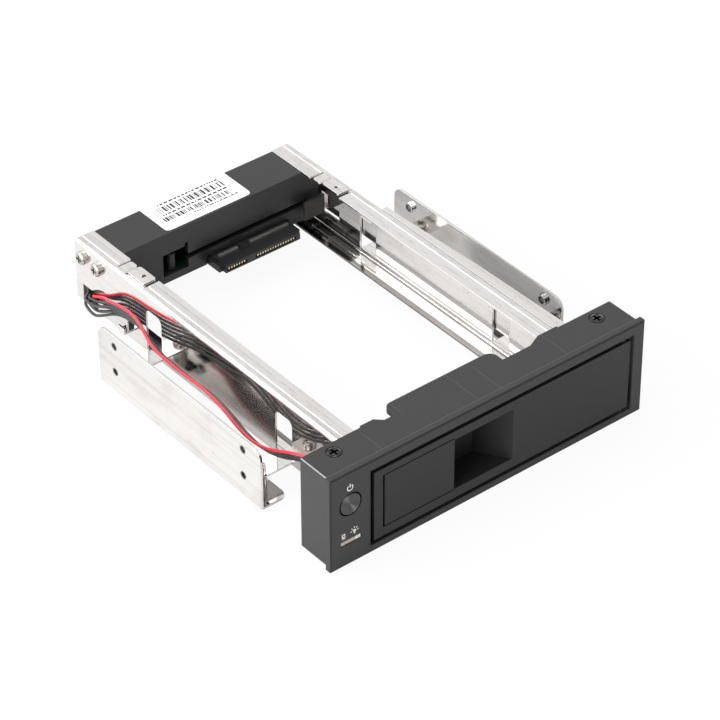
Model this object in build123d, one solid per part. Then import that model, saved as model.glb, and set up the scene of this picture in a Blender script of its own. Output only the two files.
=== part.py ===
from build123d import *
from math import pi, radians, tan
import os

os.makedirs("parts", exist_ok=True)

# Hot swap drive cage for one 3.5 inch drive, made to fit a 5.25 inch bay.
# Sizes are in millimetres. x runs to the right, y backwards from the bezel's
# front face and z up from the bezel's bottom edge. The saved pieces are moved
# so that the origin lies under the middle of the whole cage.

# The drive that the cage holds
drive_width = 101.6
drive_height = 26.1
drive_side_room = 1.2
drive_top_room = 0.5

# Bezel
bezel_width = 149.2
bezel_height = 42.0
flange_thickness = 3.0
flange_side_lip = 1.0
flange_top_lip = 0.8
flange_bottom_lip = 0.9
bezel_depth = 18.1
bezel_wall = 2.0
edge_break = 0.5
body_edge_break = 0.6
opening_left_margin = 17.1
opening_right_margin = 4.5
opening_bottom = 3.4
opening_top_margin = 4.3
stop_lap = 1.0
stop_gap = 0.3
stop_thickness = 1.5
stop_end_margin = 8.1
hook_clearance = 1.5
divider_thickness = 1.6
divider_depth = 14.5
tongue_depth = 22.7
tongue_left = -32.5
tongue_right = 18.8
tongue_corner = 3.5
notch_depth = 16.1
notch_left = -37.0
notch_right = 32.2
ledge_depth = 18.9
ledge_run = 9.0

# Door and its hinge
door_gap = 1.7
door_thickness = 3.0
hinge_edge = 1.8
hinge_setback = 2.0
hinge_pin_radius = 0.8
hinge_pin_length = 6.6
hinge_play = 0.06
rim_thickness = 1.2
rim_height = 1.6
rim_inset = 1.7
rim_end_margin = 17.1

# Latch lever and finger pocket
lever_left_margin = 6.6
lever_right = -17.6
lever_bottom_margin = 6.0
lever_top_margin = 5.2
lever_thickness = 2.4
lever_lip = 1.0
lever_lip_width = 1.8
lever_side_gap = 0.9
lever_gap = 0.5
lever_back_room = 2.2
lever_pivot_inset = 3.3
lever_pivot_setback = 2.6
lever_barrel_radius = 2.2
lever_pin_radius = 0.75
lever_pin_play = 0.06
lever_boss = 5.0
lever_floor_start = 2.6
lever_pin_seat = 1.2
hook_width = 7.0
hook_drop = 11.7
hook_arm = 2.4
hook_nose = 1.8
hook_reach = 8.1
hook_length = 7.9
spring_wire = 0.5
spring_turns = 8
spring_drop = 4.7
spring_end_room = 0.3
spring_side_room = 0.2
pocket_right = 10.3
pocket_bottom_margin = 5.9
pocket_top_margin = 5.5
pocket_depth = 12.8
pocket_slant = 8.5
pocket_undercut = 7.4
pocket_wall = 1.4
pocket_wall_slanted = 2.0

# Power button, light pipe and front board
button_inset = 8.1
button_drop = 6.5
button_radius = 4.5
button_gap = 0.55
button_travel = 0.9
button_proud = 0.2
button_dish = 0.7
button_rim = 0.8
button_round = 0.4
button_dish_point = 0.3
button_skirt = 1.4
button_skirt_thickness = 1.0
button_skirt_gap = 0.4
button_stem_radius = 1.5
button_stem = 1.0
plunger_radius = 1.4
plunger_play = 0.15
plunger_length = 2.9
switch_side = 6.0
switch_depth = 3.4
switch_round = 0.6
switch_bore_room = 0.2
pipe_width = 9.2
pipe_height = 2.1
pipe_z = 10.9
pipe_setback = 0.15
lamp_size = 2.1
lamp_spacing = 6.2
lamp_gap = 0.2
board_setback = 10.6
board_thickness = 1.6
board_width = 11.4
board_foot = 3.7
board_head = 5.3
board_screw_drop = 9.0
board_screw_radius = 0.9
board_screw_head = 1.9
board_screw_head_height = 1.2
board_screw_grip = 4.0
board_boss_radius = 2.4
header_width = 4.0
header_depth = 3.2
header_offset = 3.9
header_drop = 1.2

# Sheet metal side rails
sheet = 0.8
bend_radius = 1.0
rail_bottom = 5.9
rail_start = 15.6
rail_end = 185.3
rail_flange = 9.1
groove_inset = 5.3
groove_width = 0.5
groove_depth = 0.25
runner_inset = 4.4
runner_width = 1.2
runner_height = 0.35
window_width = 9.8
window_front = 49.7
window_rear = 129.6
window_sill = 7.5
window_height = 19.6
window_corner = 2.5
foot_end_gap = 1.7
foot_width = 9.2
foot_screw_inset = 8.3
foot_corner = 2.0
ear_strap = 2.4
ear_start = 9.7
ear_inner_room = 3.8
ear_outer_room = 6.0
bezel_screw_inset = 11.3
bezel_screw_y = 13.2
screw_radius = 1.5
countersunk_radius = 2.75
countersunk_height = 1.5
screw_ring = 0.4
screw_ring_depth = 0.5
bezel_boss_radius = 3.2
tab_zone_width = 6.6
tab_front_gap = 1.0
tab_middle_gap = 1.5
tab_rear_gap = 1.3
wide_tab_start = 143.5
wide_tab_length = 10.4
wide_tab_lift = 0.8
narrow_tab_length = 4.3
tab_setback = 0.5
tab_mark = 1.4
tab_mark_inset = 2.6
tab_mark_shift = 1.5
tab_clearance = 0.4
tab_corner = 1.2
tab_slot_width = 0.6
tab_slot_depth = 0.5
cable_window_start = 171.6
cable_window_end = 181.2
cable_window_bottom = 8.0
cable_window_top = 15.2
clip_y = 150.0
clip_z = 11.6
clip_width = 4.2
clip_reach = 4.4
clip_slot = 5.4
clip_room = 0.4
clip_lip = 2.6

# Side brackets that carry the cage in the bay
bay_width = 145.8
bracket_sheet = 1.0
bracket_front = 42.4
bracket_rear = 142.4
bracket_bottom = 1.0
bracket_height = 26.6
bracket_flange = 12.2
bracket_corner = 4.5
bracket_flange_corner = 3.5
bay_hole_radius = 1.3
bay_hole_first = 52.9
bay_hole_spacing = 79.25
bay_hole_height = 9.9
bay_hole_rise = 11.94
collar_radius = 2.3
collar_length = 1.2
standoff_radius = 3.0
standoff_swage_radius = 2.0
bracket_screw_short = 0.5
pan_head_radius = 2.8
pan_head_height = 2.2
pan_head_round = 0.55
cross_length = 3.5
cross_width = 0.95
cross_depth = 0.9

# Rear backplane
housing_front = 165.5
housing_depth = 17.7
housing_bottom = 11.0
housing_side_room = 0.1
housing_wall = 1.7
cover_thickness = 1.6
floor_thickness = 1.6
floor_setback = 1.6
housing_screw_radius = 1.5
housing_screw_z = 28.4
housing_screw_first = 4.6
housing_screw_spacing = 9.8
housing_screw_length = 6.0
boss_wall = 1.6
block_side_gap = 0.2
socket_notch_room = 0.4
peephole_left = -25.4
peephole_right = -13.3
peephole_bottom = 14.2
peephole_top = 24.5
peephole_step = 1.5
vent_bottom = 18.0
vent_top = 20.4
vent_right = 47.5
backboard_bottom = 12.2
backboard_thickness = 1.6
backboard_room = 0.5
pillar_radius = 2.2
pillar_side = 8.0
pillar_rear = 4.0
pillar_front = 6.0
capacitor_x = -19.2
capacitor_radius = 2.0
capacitor_height = 8.0
capacitor_setback = 2.2
capacitor_round = 0.3
capacitor_neck = 1.2
capacitor_neck_depth = 0.25
label_left = -22.0
label_right = 19.2
label_thickness = 0.15
label_corner = 2.0
label_margin = 1.0

# Drive connector
receptacle_left = -4.0
receptacle_right = 36.1
receptacle_height = 3.5
receptacle_front = 155.4
guide_width = 1.8
guide_setback = 2.6
guide_drop = 0.6
guide_lead_in = 0.5
socket_depth = 6.0
socket_height = 1.5
socket_sill = 1.2
contact_pitch = 1.27
data_contacts = 7
power_contacts = 15
data_first = -0.9
power_first = 13.3
socket_margin = 1.1
contact_width = 0.6
contact_thickness = 1.0
contact_setback = 0.2
clip_strip_width = 1.1
clip_strip_height = 0.6
clip_strip_setback = 7.3
clip_strip_spans = ((-0.6, 8.9), (14.9, 34.2))
key_left = 10.0
key_right = 13.2
key_setback = 5.2
key_depth = 3.2
key_height = 0.7
port_shell = 1.0
port_height = 6.2
port_proud = 1.2
port_tongue = 1.2
port_back = 2.0
port_tongue_inset = 1.2
data_port_x = -30.0
power_port_x = 2.0
port_margin = 2.2
port_length = 10.0
harness_socket_width = 4.8
harness_socket_setback = 0.5
harness_front_room = 7.2
harness_end_room = 0.95
harness_columns = 3
harness_room = 0.4

# Eject slider on the right rail
slide_gap = 0.3
slider_bottom = 14.0
slider_lower_top = 22.0
slider_front = 18.0
slider_taper_start = 127.0
slider_tip = 134.0
slider_front_width = 5.8
slider_middle_width = 4.6
slider_middle = 75.0
slider_rear_width = 2.2
slider_top_gap = 0.3
pusher_y = 162.4
pusher_reach = 44.5
pusher_room = 0.6
pad_overhang = 3.0
pad_side_room = 0.4
pad_thickness = 0.9
pad_drop = 0.3
pad_height = 8.6
drive_pin_offset = 4.6
drive_pin_radius = 0.8
drive_pin_drop = 4.0
drive_pin_play = 0.7
strip_width = 2.4
strip_turn = 9.0
strip_front_room = 0.5
strip_corner = 1.0
arm_drop = 3.2
arm_thickness = 2.0
arm_wall = 1.3
arm_slot_end = 0.4
rivet_head_radius = 3.0
rivet_head_thickness = 0.8
rivet_first = 75.0
rivet_spacing = 40.0
rivet_z = 24.0
rivet_play = 0.2

# Wires of the front board
wire_radius = 0.58
wire_pitch = 1.38
wire_count = 6
wire_turn_room = 1.2
wire_straight_end = 4.5
header_margin = 1.1

# Worked out from the sizes above
rail_outer = drive_width / 2 + drive_side_room + sheet
rail_height = drive_height + drive_top_room + 2 * sheet
rail_top = rail_bottom + rail_height
rail_inner = rail_outer - sheet
body_left = -bezel_width / 2 + flange_side_lip
body_right = -body_left
body_bottom = flange_bottom_lip
body_top = bezel_height - flange_top_lip
opening_left = body_left + opening_left_margin
opening_right = body_right - opening_right_margin
opening_top = bezel_height - opening_top_margin
stop_end = opening_right - stop_end_margin
rim_end = opening_right - rim_end_margin
lever_left = opening_left + lever_left_margin
lever_bottom = opening_bottom + lever_bottom_margin
lever_top = opening_top - lever_top_margin
hook_height = lever_top - hook_drop
spring_height = lever_top - spring_drop
pocket_bottom = opening_bottom + pocket_bottom_margin
pocket_top = opening_top - pocket_top_margin
button_x = body_left + button_inset
button_z = rail_top - button_drop
board_bottom = pipe_z - board_foot
board_top = button_z + board_head
board_screw_z = button_z - board_screw_drop
header_x = button_x + header_offset
header_top = board_top - header_drop
bezel_screw_x = body_right - bezel_screw_inset
ear_inner = bezel_screw_x - ear_inner_room
ear_outer = bezel_screw_x + ear_outer_room
bay_side = bay_width / 2
foot_end = bay_side - bracket_sheet - foot_end_gap
foot_screw_x = bay_side - foot_screw_inset
wide_tab_end = wide_tab_start + wide_tab_length
narrow_tab_start = wide_tab_end + tab_middle_gap
narrow_tab_end = narrow_tab_start + narrow_tab_length
tab_zone_start = wide_tab_start - tab_front_gap
tab_zone_end = narrow_tab_end + tab_rear_gap
housing_side = rail_inner - housing_side_room
housing_top = rail_top - sheet - housing_side_room
housing_rear = housing_front + housing_depth
cage_rear = housing_rear + cover_thickness + port_proud
hinge_x = opening_right - door_gap - hinge_edge
hinge_y = hinge_setback
lever_pivot_x = lever_left + lever_pivot_inset
lever_pivot_y = lever_pivot_setback
eject_travel = 2 * drive_pin_offset
drive_pin_x = hinge_x - drive_pin_offset
drive_pin_y = hinge_y + drive_pin_offset
slider_inner = rail_outer + slide_gap
slider_top = rail_top - sheet - slider_top_gap
arm_bottom = slider_top - sheet - arm_drop
backboard_top = backboard_bottom + backboard_thickness
harness_face = -housing_side + housing_wall + harness_socket_setback
harness_first_y = housing_front + housing_wall + harness_front_room
harness_last_y = harness_first_y + (harness_columns - 1) * wire_pitch
harness_rows = wire_count // harness_columns
harness_socket_height = (harness_rows - 1) * wire_pitch + 2 * harness_end_room
harness_socket_top = housing_bottom + harness_socket_height
receptacle_bottom = housing_bottom
header_face = board_setback + board_thickness + header_depth

to_origin = Pos(0, (button_proud - cage_rear) / 2, 0)


def block(x0, x1, y0, y1, z0, z1):
    return Pos((x0 + x1) / 2, (y0 + y1) / 2, (z0 + z1) / 2) * Box(x1 - x0, y1 - y0, z1 - z0)


def rod_z(x, y, z0, z1, radius):
    return Pos(x, y, (z0 + z1) / 2) * Cylinder(radius, z1 - z0)


def rod_y(x, z, y0, y1, radius):
    return Pos(x, (y0 + y1) / 2, z) * Rot(90, 0, 0) * Cylinder(radius, y1 - y0)


def rod_x(y, z, x0, x1, radius):
    return Pos((x0 + x1) / 2, y, z) * Rot(0, 90, 0) * Cylinder(radius, x1 - x0)


def plan(points, z0, z1, corners=(), radius=0.0):
    # a flat outline in x and y, raised from z0 to z1, with some corners rounded
    outline = make_face(Polyline(*points, close=True))
    for x, y in corners:
        nearest = outline.vertices().sort_by_distance((x, y, 0))[0]
        outline = fillet(nearest, radius)
    return Pos(0, 0, z0) * extrude(outline, z1 - z0)


def side_plate(x0, thickness, y0, y1, z0, z1, radius, top_only=False):
    # an upright plate in y and z with rounded corners
    plate = block(x0, x0 + thickness, y0, y1, z0, z1)
    edges = plate.edges().filter_by(Axis.X)
    if top_only:
        edges = edges.group_by(Axis.Z)[-1]
    return fillet(edges, radius)


def mirrored(part):
    return mirror(part, about=Plane.YZ)


def save(name, part):
    solids = part.solids()
    placed = [to_origin * solid for solid in solids]
    whole = placed[0] if len(placed) == 1 else Compound(children=placed)
    export_step(whole, "parts/" + name + ".step")


def cross_recess(depth=cross_depth):
    # centred on the origin, cut downwards from z = 0
    bar = block(-cross_length / 2, cross_length / 2, -cross_width / 2, cross_width / 2, -depth, 1)
    return bar + Rot(0, 0, 90) * bar


def countersunk_screw(length):
    # its flat head is at z = 0 and its shank points down
    head = Pos(0, 0, -countersunk_height / 2) * Cone(screw_radius, countersunk_radius, countersunk_height)
    shank = rod_z(0, 0, -length, -countersunk_height, screw_radius)
    return head + shank - cross_recess()


def pan_screw(length, radius, head_radius, head_height):
    # the underside of its head is at z = 0 and its shank points down
    head = rod_z(0, 0, 0, head_height, head_radius)
    head = fillet(head.edges().group_by(Axis.Z)[-1], head_height * pan_head_round)
    shank = rod_z(0, 0, -length, 0, radius)
    return head + shank - Pos(0, 0, head_height) * cross_recess()


# Bezel

def bezel_top_wall():
    right = body_right
    points = [
        (body_left, flange_thickness),
        (body_left, bezel_depth),
        (notch_left - ledge_run, bezel_depth),
        (notch_left - ledge_run, ledge_depth),
        (notch_left - ledge_run / 3, ledge_depth),
        (notch_left, notch_depth),
        (tongue_left, notch_depth),
        (tongue_left, tongue_depth),
        (tongue_right, tongue_depth),
        (tongue_right, notch_depth),
        (notch_right, notch_depth),
        (notch_right + ledge_run * 2 / 3, ledge_depth),
        (notch_right + ledge_run * 1.7, ledge_depth),
        (notch_right + ledge_run * 1.7, bezel_depth),
        (right, bezel_depth),
        (right, flange_thickness),
    ]
    corners = [(tongue_left, tongue_depth), (tongue_right, tongue_depth)]
    return plan(points, body_top - bezel_wall, body_top, corners, tongue_corner)


def bezel_frame():
    half = bezel_width / 2
    right = body_right
    flange = block(-half, half, 0, flange_thickness, 0, bezel_height)
    flange = chamfer(flange.faces().sort_by(Axis.Y)[0].edges(), edge_break)
    body = block(body_left, right, flange_thickness, bezel_depth, body_bottom, body_top)
    room = block(body_left + bezel_wall, right - bezel_wall, flange_thickness, bezel_depth + 1,
                 body_bottom + bezel_wall, body_top + 1)
    frame = flange + (body - room) + bezel_top_wall()
    frame -= block(opening_left, opening_right, -1, flange_thickness + 1, opening_bottom, opening_top)
    inner_bottom = body_bottom + bezel_wall
    inner_top = body_top - bezel_wall
    divider = block(opening_left - divider_thickness, opening_left, flange_thickness, divider_depth,
                    inner_bottom, inner_top)
    catch_half = hook_width / 2 + 1
    catch_front = lever_pivot_y + hook_length - hook_nose - 1
    divider -= block(opening_left - divider_thickness - 1, opening_left + 1, catch_front,
                     catch_front + hook_nose + 3, hook_height - catch_half, hook_height + catch_half)
    frame += divider + door_stops()
    for side in (-1, 1):
        x = side * bezel_screw_x
        frame += rod_z(x, bezel_screw_y, rail_top, inner_top, bezel_boss_radius)
        frame += rod_z(x, bezel_screw_y, inner_bottom, rail_bottom, bezel_boss_radius)
        frame -= rod_z(x, bezel_screw_y, body_bottom - 1, body_top + 1, screw_radius)
        sink = Cone(screw_radius, countersunk_radius, countersunk_height)
        frame -= Pos(x, bezel_screw_y, body_top - countersunk_height / 2) * sink
        frame -= Pos(x, bezel_screw_y, body_bottom + countersunk_height / 2) * Rot(180, 0, 0) * sink
        ring_radius = countersunk_radius + screw_ring
        frame -= rod_z(x, bezel_screw_y, body_top - screw_ring_depth, body_top + 1, ring_radius)
        frame -= rod_z(x, bezel_screw_y, body_bottom - 1, body_bottom + screw_ring_depth, ring_radius)
        edge = body_edge_break * 2 ** 0.5
        bar = Box(edge, bezel_depth - flange_thickness, edge)
        frame -= Pos(side * body_right, (bezel_depth + flange_thickness) / 2, body_top) * Rot(0, 45, 0) * bar
    frame += rod_y(button_x, board_screw_z, flange_thickness, board_setback, board_boss_radius)
    frame -= rod_y(button_x, board_screw_z, board_setback - board_screw_grip - 1, board_setback + 1,
                   board_screw_radius)
    frame -= rod_y(button_x, button_z, -1, flange_thickness + 1, button_radius + button_gap)
    frame -= block(button_x - pipe_width / 2, button_x + pipe_width / 2, -1, flange_thickness + 1,
                   pipe_z - pipe_height / 2, pipe_z + pipe_height / 2)
    for z0, z1 in hinge_pin_spans():
        frame -= rod_z(hinge_x, hinge_y, z0, z1, hinge_pin_radius)
    return frame


def door_stops():
    # ledges behind the edge of the closed door, open where the latch hook passes
    front = door_thickness + stop_gap
    back = front + stop_thickness
    low = opening_bottom + door_gap + stop_lap
    high = opening_top - door_gap - stop_lap
    left = opening_left
    stops = block(left, stop_end, front, back, high, body_top - bezel_wall)
    stops += block(left, stop_end, flange_thickness, back, opening_top, body_top - bezel_wall)
    stops += block(left, stop_end, front, back, body_bottom + bezel_wall, low)
    stops += block(left, stop_end, flange_thickness, back, body_bottom + bezel_wall, opening_bottom)
    hook_room = hook_width / 2 + hook_clearance
    for z0, z1 in ((low - stop_lap, hook_height - hook_room), (hook_height + hook_room, high + stop_lap)):
        stops += block(left, left + door_gap + stop_lap, front, back, z0, z1)
    return stops


def hinge_pin_spans():
    door_bottom = opening_bottom + door_gap
    door_top = opening_top - door_gap
    seat = hinge_pin_length / 2 - door_gap
    return [(opening_bottom - seat, door_bottom + hinge_pin_length / 2),
            (door_top - hinge_pin_length / 2, opening_top + seat)]


def door_hinge_pins():
    return Compound(children=[rod_z(hinge_x, hinge_y, z0, z1, hinge_pin_radius)
                              for z0, z1 in hinge_pin_spans()])


def bezel_screws():
    screws = []
    length_top = body_top - (rail_top - sheet)
    length_bottom = rail_bottom + sheet - body_bottom
    for side in (-1, 1):
        x = side * bezel_screw_x
        screws.append(Pos(x, bezel_screw_y, body_top) * countersunk_screw(length_top))
        screws.append(Pos(x, bezel_screw_y, body_bottom) * Rot(180, 0, 0) * countersunk_screw(length_bottom))
    return Compound(children=screws)


# Door

def door_panel():
    left = opening_left + door_gap
    right = opening_right - door_gap
    bottom = opening_bottom + door_gap
    top = opening_top - door_gap
    door = block(left, right, 0, door_thickness, bottom, top)
    rim = block(left + rim_inset, rim_end, door_thickness, door_thickness + rim_height,
                bottom + rim_inset, top - rim_inset)
    rim -= block(left + rim_inset + rim_thickness, rim_end - rim_thickness, door_thickness - 1,
                 door_thickness + rim_height + 1, bottom + rim_inset + rim_thickness,
                 top - rim_inset - rim_thickness)
    door += rim
    door += finger_pocket_shell()
    recess_left = lever_left - lever_side_gap
    recess_bottom = lever_bottom - lever_gap
    recess_top = lever_top + lever_gap
    recess_depth = lever_thickness + lever_back_room
    for z0, z1 in ((bottom + rim_inset, recess_bottom), (recess_top, top - rim_inset)):
        door += block(lever_pivot_x - lever_boss / 2, lever_pivot_x + lever_boss / 2, door_thickness,
                      lever_pivot_y + lever_boss / 2, z0, z1)
    door -= block(recess_left, lever_right, -1, recess_depth, recess_bottom, recess_top)
    door -= finger_pocket_room()
    pin_low, pin_high = lever_pin_span()
    door -= rod_z(lever_pivot_x, lever_pivot_y, pin_low, pin_high, lever_pin_radius)
    door += eject_arm()
    for z0, z1 in hinge_pin_spans():
        door -= rod_z(hinge_x, hinge_y, z0, z1, hinge_pin_radius + hinge_play)
    return door


def finger_pocket_shell():
    # it ends behind the lever's barrel, where the hook needs a way through
    start = lever_pivot_x + lever_floor_start
    deep_left = lever_right - pocket_undercut - pocket_wall
    back = pocket_depth + pocket_wall
    shelf = lever_thickness + lever_back_room + pocket_wall
    right = pocket_right + pocket_wall_slanted
    points = [
        (start, door_thickness),
        (right, door_thickness),
        (right - pocket_slant * back / pocket_depth, back),
        (deep_left, back),
        (deep_left, shelf),
        (start, shelf),
    ]
    return plan(points, lever_bottom - lever_gap - pocket_wall, lever_top + lever_gap + pocket_wall)


def finger_pocket_room():
    deep_left = lever_right - pocket_undercut
    points = [
        (lever_right, -1),
        (pocket_right, -1),
        (pocket_right, 0),
        (pocket_right - pocket_slant, pocket_depth),
        (deep_left, pocket_depth),
        (deep_left, lever_thickness),
        (lever_right, lever_thickness),
    ]
    return plan(points, pocket_bottom, pocket_top)


def eject_arm():
    # slotted along a line at 45 degrees from the hinge, where the slider's pin runs
    reach = drive_pin_offset * 2 ** 0.5
    slot_half = drive_pin_radius + drive_pin_play
    start = drive_pin_offset - drive_pin_radius - arm_slot_end
    end = reach + drive_pin_radius + arm_slot_end
    arm = block(start / 2, end + arm_wall, -slot_half - arm_wall, slot_half + arm_wall, 0, arm_thickness)
    arm -= block(start, end, -slot_half, slot_half, -1, arm_thickness + 1)
    return Pos(hinge_x, hinge_y, arm_bottom) * Rot(0, 0, 135) * arm


def lever_pin_span():
    return lever_bottom - lever_gap - lever_pin_seat, lever_top + lever_gap + lever_pin_seat


def latch_lever_pin():
    z0, z1 = lever_pin_span()
    return rod_z(lever_pivot_x, lever_pivot_y, z0, z1, lever_pin_radius)


def latch_lever():
    lever = block(lever_left, lever_right, 0, lever_thickness, lever_bottom, lever_top)
    lever += block(lever_right - lever_lip_width, lever_right, 0, lever_thickness + lever_lip,
                   lever_bottom, lever_top)
    lever += rod_z(lever_pivot_x, lever_pivot_y, lever_bottom, lever_top, lever_barrel_radius)
    hook_low = hook_height - hook_width / 2
    hook_high = hook_height + hook_width / 2
    nose_y = lever_pivot_y + hook_length
    arm_left = lever_pivot_x - lever_barrel_radius - hook_arm / 2
    lever += block(arm_left, arm_left + hook_arm, lever_thickness - 1, nose_y, hook_low, hook_high)
    nose = [
        (lever_pivot_x - hook_reach, nose_y - hook_nose),
        (lever_pivot_x - hook_reach, nose_y - hook_nose / 2),
        (arm_left, nose_y),
        (arm_left + hook_arm, nose_y),
        (arm_left + hook_arm, nose_y - hook_nose),
    ]
    lever += plan(nose, hook_low, hook_high)
    spring_half = spring_turns * spring_wire / 2 + spring_end_room
    room = lever_barrel_radius + 2 * spring_side_room
    spring_front = lever_pivot_y - spring_outer() - spring_side_room
    lever -= block(lever_pivot_x - room, lever_pivot_x + room, spring_front, lever_pivot_y + room,
                   spring_height - spring_half, spring_height + spring_half)
    lever -= rod_z(lever_pivot_x, lever_pivot_y, lever_bottom - 1, lever_top + 1,
                   lever_pin_radius + lever_pin_play)
    return lever


def spring_outer():
    return lever_pin_radius + lever_pin_play + 2 * spring_wire


def latch_spring():
    # close-wound coils round the lever's pin
    low = spring_height - spring_turns * spring_wire / 2
    inner = lever_pin_radius + lever_pin_play
    core = rod_z(lever_pivot_x, lever_pivot_y, low, low + spring_turns * spring_wire, inner + spring_wire)
    for turn in range(spring_turns):
        z = low + (turn + 0.5) * spring_wire
        core += Pos(lever_pivot_x, lever_pivot_y, z) * Torus(inner + spring_wire, spring_wire / 2)
    return core - rod_z(lever_pivot_x, lever_pivot_y, low - 1, low + spring_turns * spring_wire + 1, inner)


# Button, light pipe and front board

def skirt_back():
    return flange_thickness + button_skirt_gap + button_skirt_thickness


def power_button():
    cap = rod_y(button_x, button_z, -button_proud, skirt_back(), button_radius)
    cap = fillet(cap.edges().group_by(Axis.Y)[0], button_round)
    dish = Rot(90, 0, 0) * Cone(button_dish_point, button_radius - button_rim, button_dish)
    cap -= Pos(button_x, button_dish / 2 - button_proud, button_z) * dish
    skirt_front = flange_thickness + button_skirt_gap
    cap += rod_y(button_x, button_z, skirt_front, skirt_back(), button_radius + button_skirt)
    cap += rod_y(button_x, button_z, skirt_back(), skirt_back() + button_stem, button_stem_radius)
    return cap


def switch_front():
    return board_setback - switch_depth


def switch_plunger():
    start = skirt_back() + button_stem
    return rod_y(button_x, button_z, start, start + plunger_length, plunger_radius)


def power_switch():
    half = switch_side / 2
    body = block(button_x - half, button_x + half, switch_front(), board_setback,
                 button_z - half, button_z + half)
    body = fillet(body.edges().filter_by(Axis.Y), switch_round)
    plunger_end = skirt_back() + button_stem + plunger_length
    bore_end = plunger_end + button_travel + switch_bore_room
    return body - rod_y(button_x, button_z, switch_front() - 1, bore_end, plunger_radius + plunger_play)


def light_pipe():
    return block(button_x - pipe_width / 2, button_x + pipe_width / 2, pipe_setback,
                 board_setback - lamp_size - lamp_gap, pipe_z - pipe_height / 2, pipe_z + pipe_height / 2)


def indicator_lamps():
    lamps = []
    for side in (-1, 1):
        x = button_x + side * lamp_spacing / 2
        lamp = block(x - lamp_size / 2, x + lamp_size / 2, board_setback - lamp_size, board_setback,
                     pipe_z - lamp_size / 2, pipe_z + lamp_size / 2)
        lamps.append(lamp)
    return Compound(children=lamps)


def front_board():
    left = button_x - board_width / 2
    board = block(left, left + board_width, board_setback, board_setback + board_thickness,
                  board_bottom, board_top)
    return board - rod_y(button_x, board_screw_z, board_setback - 1, board_setback + board_thickness + 1,
                         board_screw_radius)


def board_screw():
    screw = pan_screw(board_thickness + board_screw_grip, board_screw_radius, board_screw_head,
                      board_screw_head_height)
    return Pos(button_x, board_setback + board_thickness, board_screw_z) * Rot(-90, 0, 0) * screw


def board_header():
    back = board_setback + board_thickness
    bottom = header_top - 2 * header_margin - (wire_count - 1) * wire_pitch
    return block(header_x - header_width / 2, header_x + header_width / 2, back, back + header_depth,
                 bottom, header_top)


# Side rails

def window_starts():
    return (window_front, window_rear)


def rail_profile():
    top = rail_top
    inner_edge = rail_outer - rail_flange
    points = [
        (inner_edge, top), (rail_outer, top), (rail_outer, rail_bottom), (inner_edge, rail_bottom),
        (inner_edge, rail_bottom + sheet), (rail_inner, rail_bottom + sheet), (rail_inner, top - sheet),
        (inner_edge, top - sheet),
    ]
    face = make_face(Polyline(*points, close=True))
    bends = (
        (rail_outer, top, bend_radius + sheet), (rail_outer, rail_bottom, bend_radius + sheet),
        (rail_inner, top - sheet, bend_radius), (rail_inner, rail_bottom + sheet, bend_radius),
    )
    for x, z, radius in bends:
        corner = face.vertices().sort_by_distance((x, z, 0))[0]
        face = fillet(corner, radius)
    return face


def rail_tab(outer, start, end, top):
    inner = rail_outer - rail_flange + tab_setback
    points = [(inner, start), (outer, start), (outer, end), (inner, end)]
    return plan(points, top - sheet, top, (points[0], points[3]), tab_corner)


def rail_tabs():
    # lanced tabs near the rear end of the top flange, the room round them and a slot
    inner_edge = rail_outer - rail_flange
    outer = inner_edge + tab_zone_width
    room = block(inner_edge - 1, outer, tab_zone_start, tab_zone_end, rail_top - sheet - tab_clearance,
                 rail_top + 1)
    narrow = rail_tab(outer + sheet, narrow_tab_start, narrow_tab_end, rail_top)
    lift = rail_top + wide_tab_lift
    wide = rail_tab(outer, wide_tab_start, wide_tab_end, lift)
    wide += block(outer - sheet, outer, wide_tab_start, wide_tab_end, rail_top - sheet, lift)
    wide += block(outer - sheet, outer + sheet, wide_tab_start, wide_tab_end, rail_top - sheet, rail_top)
    mark_x = inner_edge + tab_setback + tab_mark_inset
    mark_y = (wide_tab_start + wide_tab_end) / 2 - tab_mark_shift
    mark = [(mark_x, mark_y), (mark_x + tab_mark, mark_y), (mark_x + tab_mark / 2, mark_y + tab_mark)]
    wide -= plan(mark, lift - 2 * sheet, lift + 1)
    slot = block(outer, outer + tab_slot_width, wide_tab_start - 1, wide_tab_end + 1,
                 rail_top - tab_slot_depth, lift + 1)
    return room, narrow + wide, slot


def rail_foot(window_start):
    # the metal of a window, bent outwards as a foot for a bracket screw
    middle = window_start + window_width / 2
    foot = block(rail_inner, foot_end, middle - foot_width / 2, middle + foot_width / 2,
                 window_sill, window_sill + sheet)
    foot = fillet(foot.edges().filter_by(Axis.Z).group_by(Axis.X)[-1], foot_corner)
    return foot - rod_z(foot_screw_x, middle, window_sill - 1, window_sill + sheet + 1, screw_radius)


def rail_ear(z):
    strap = block(rail_outer - bend_radius - sheet, ear_outer, rail_start, rail_start + ear_strap,
                  z, z + sheet)
    pad = block(ear_inner, ear_outer, ear_start, rail_start + ear_strap, z, z + sheet)
    ear = strap + pad
    return ear - rod_z(bezel_screw_x, bezel_screw_y, z - 1, z + sheet + 1, screw_radius)


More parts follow.
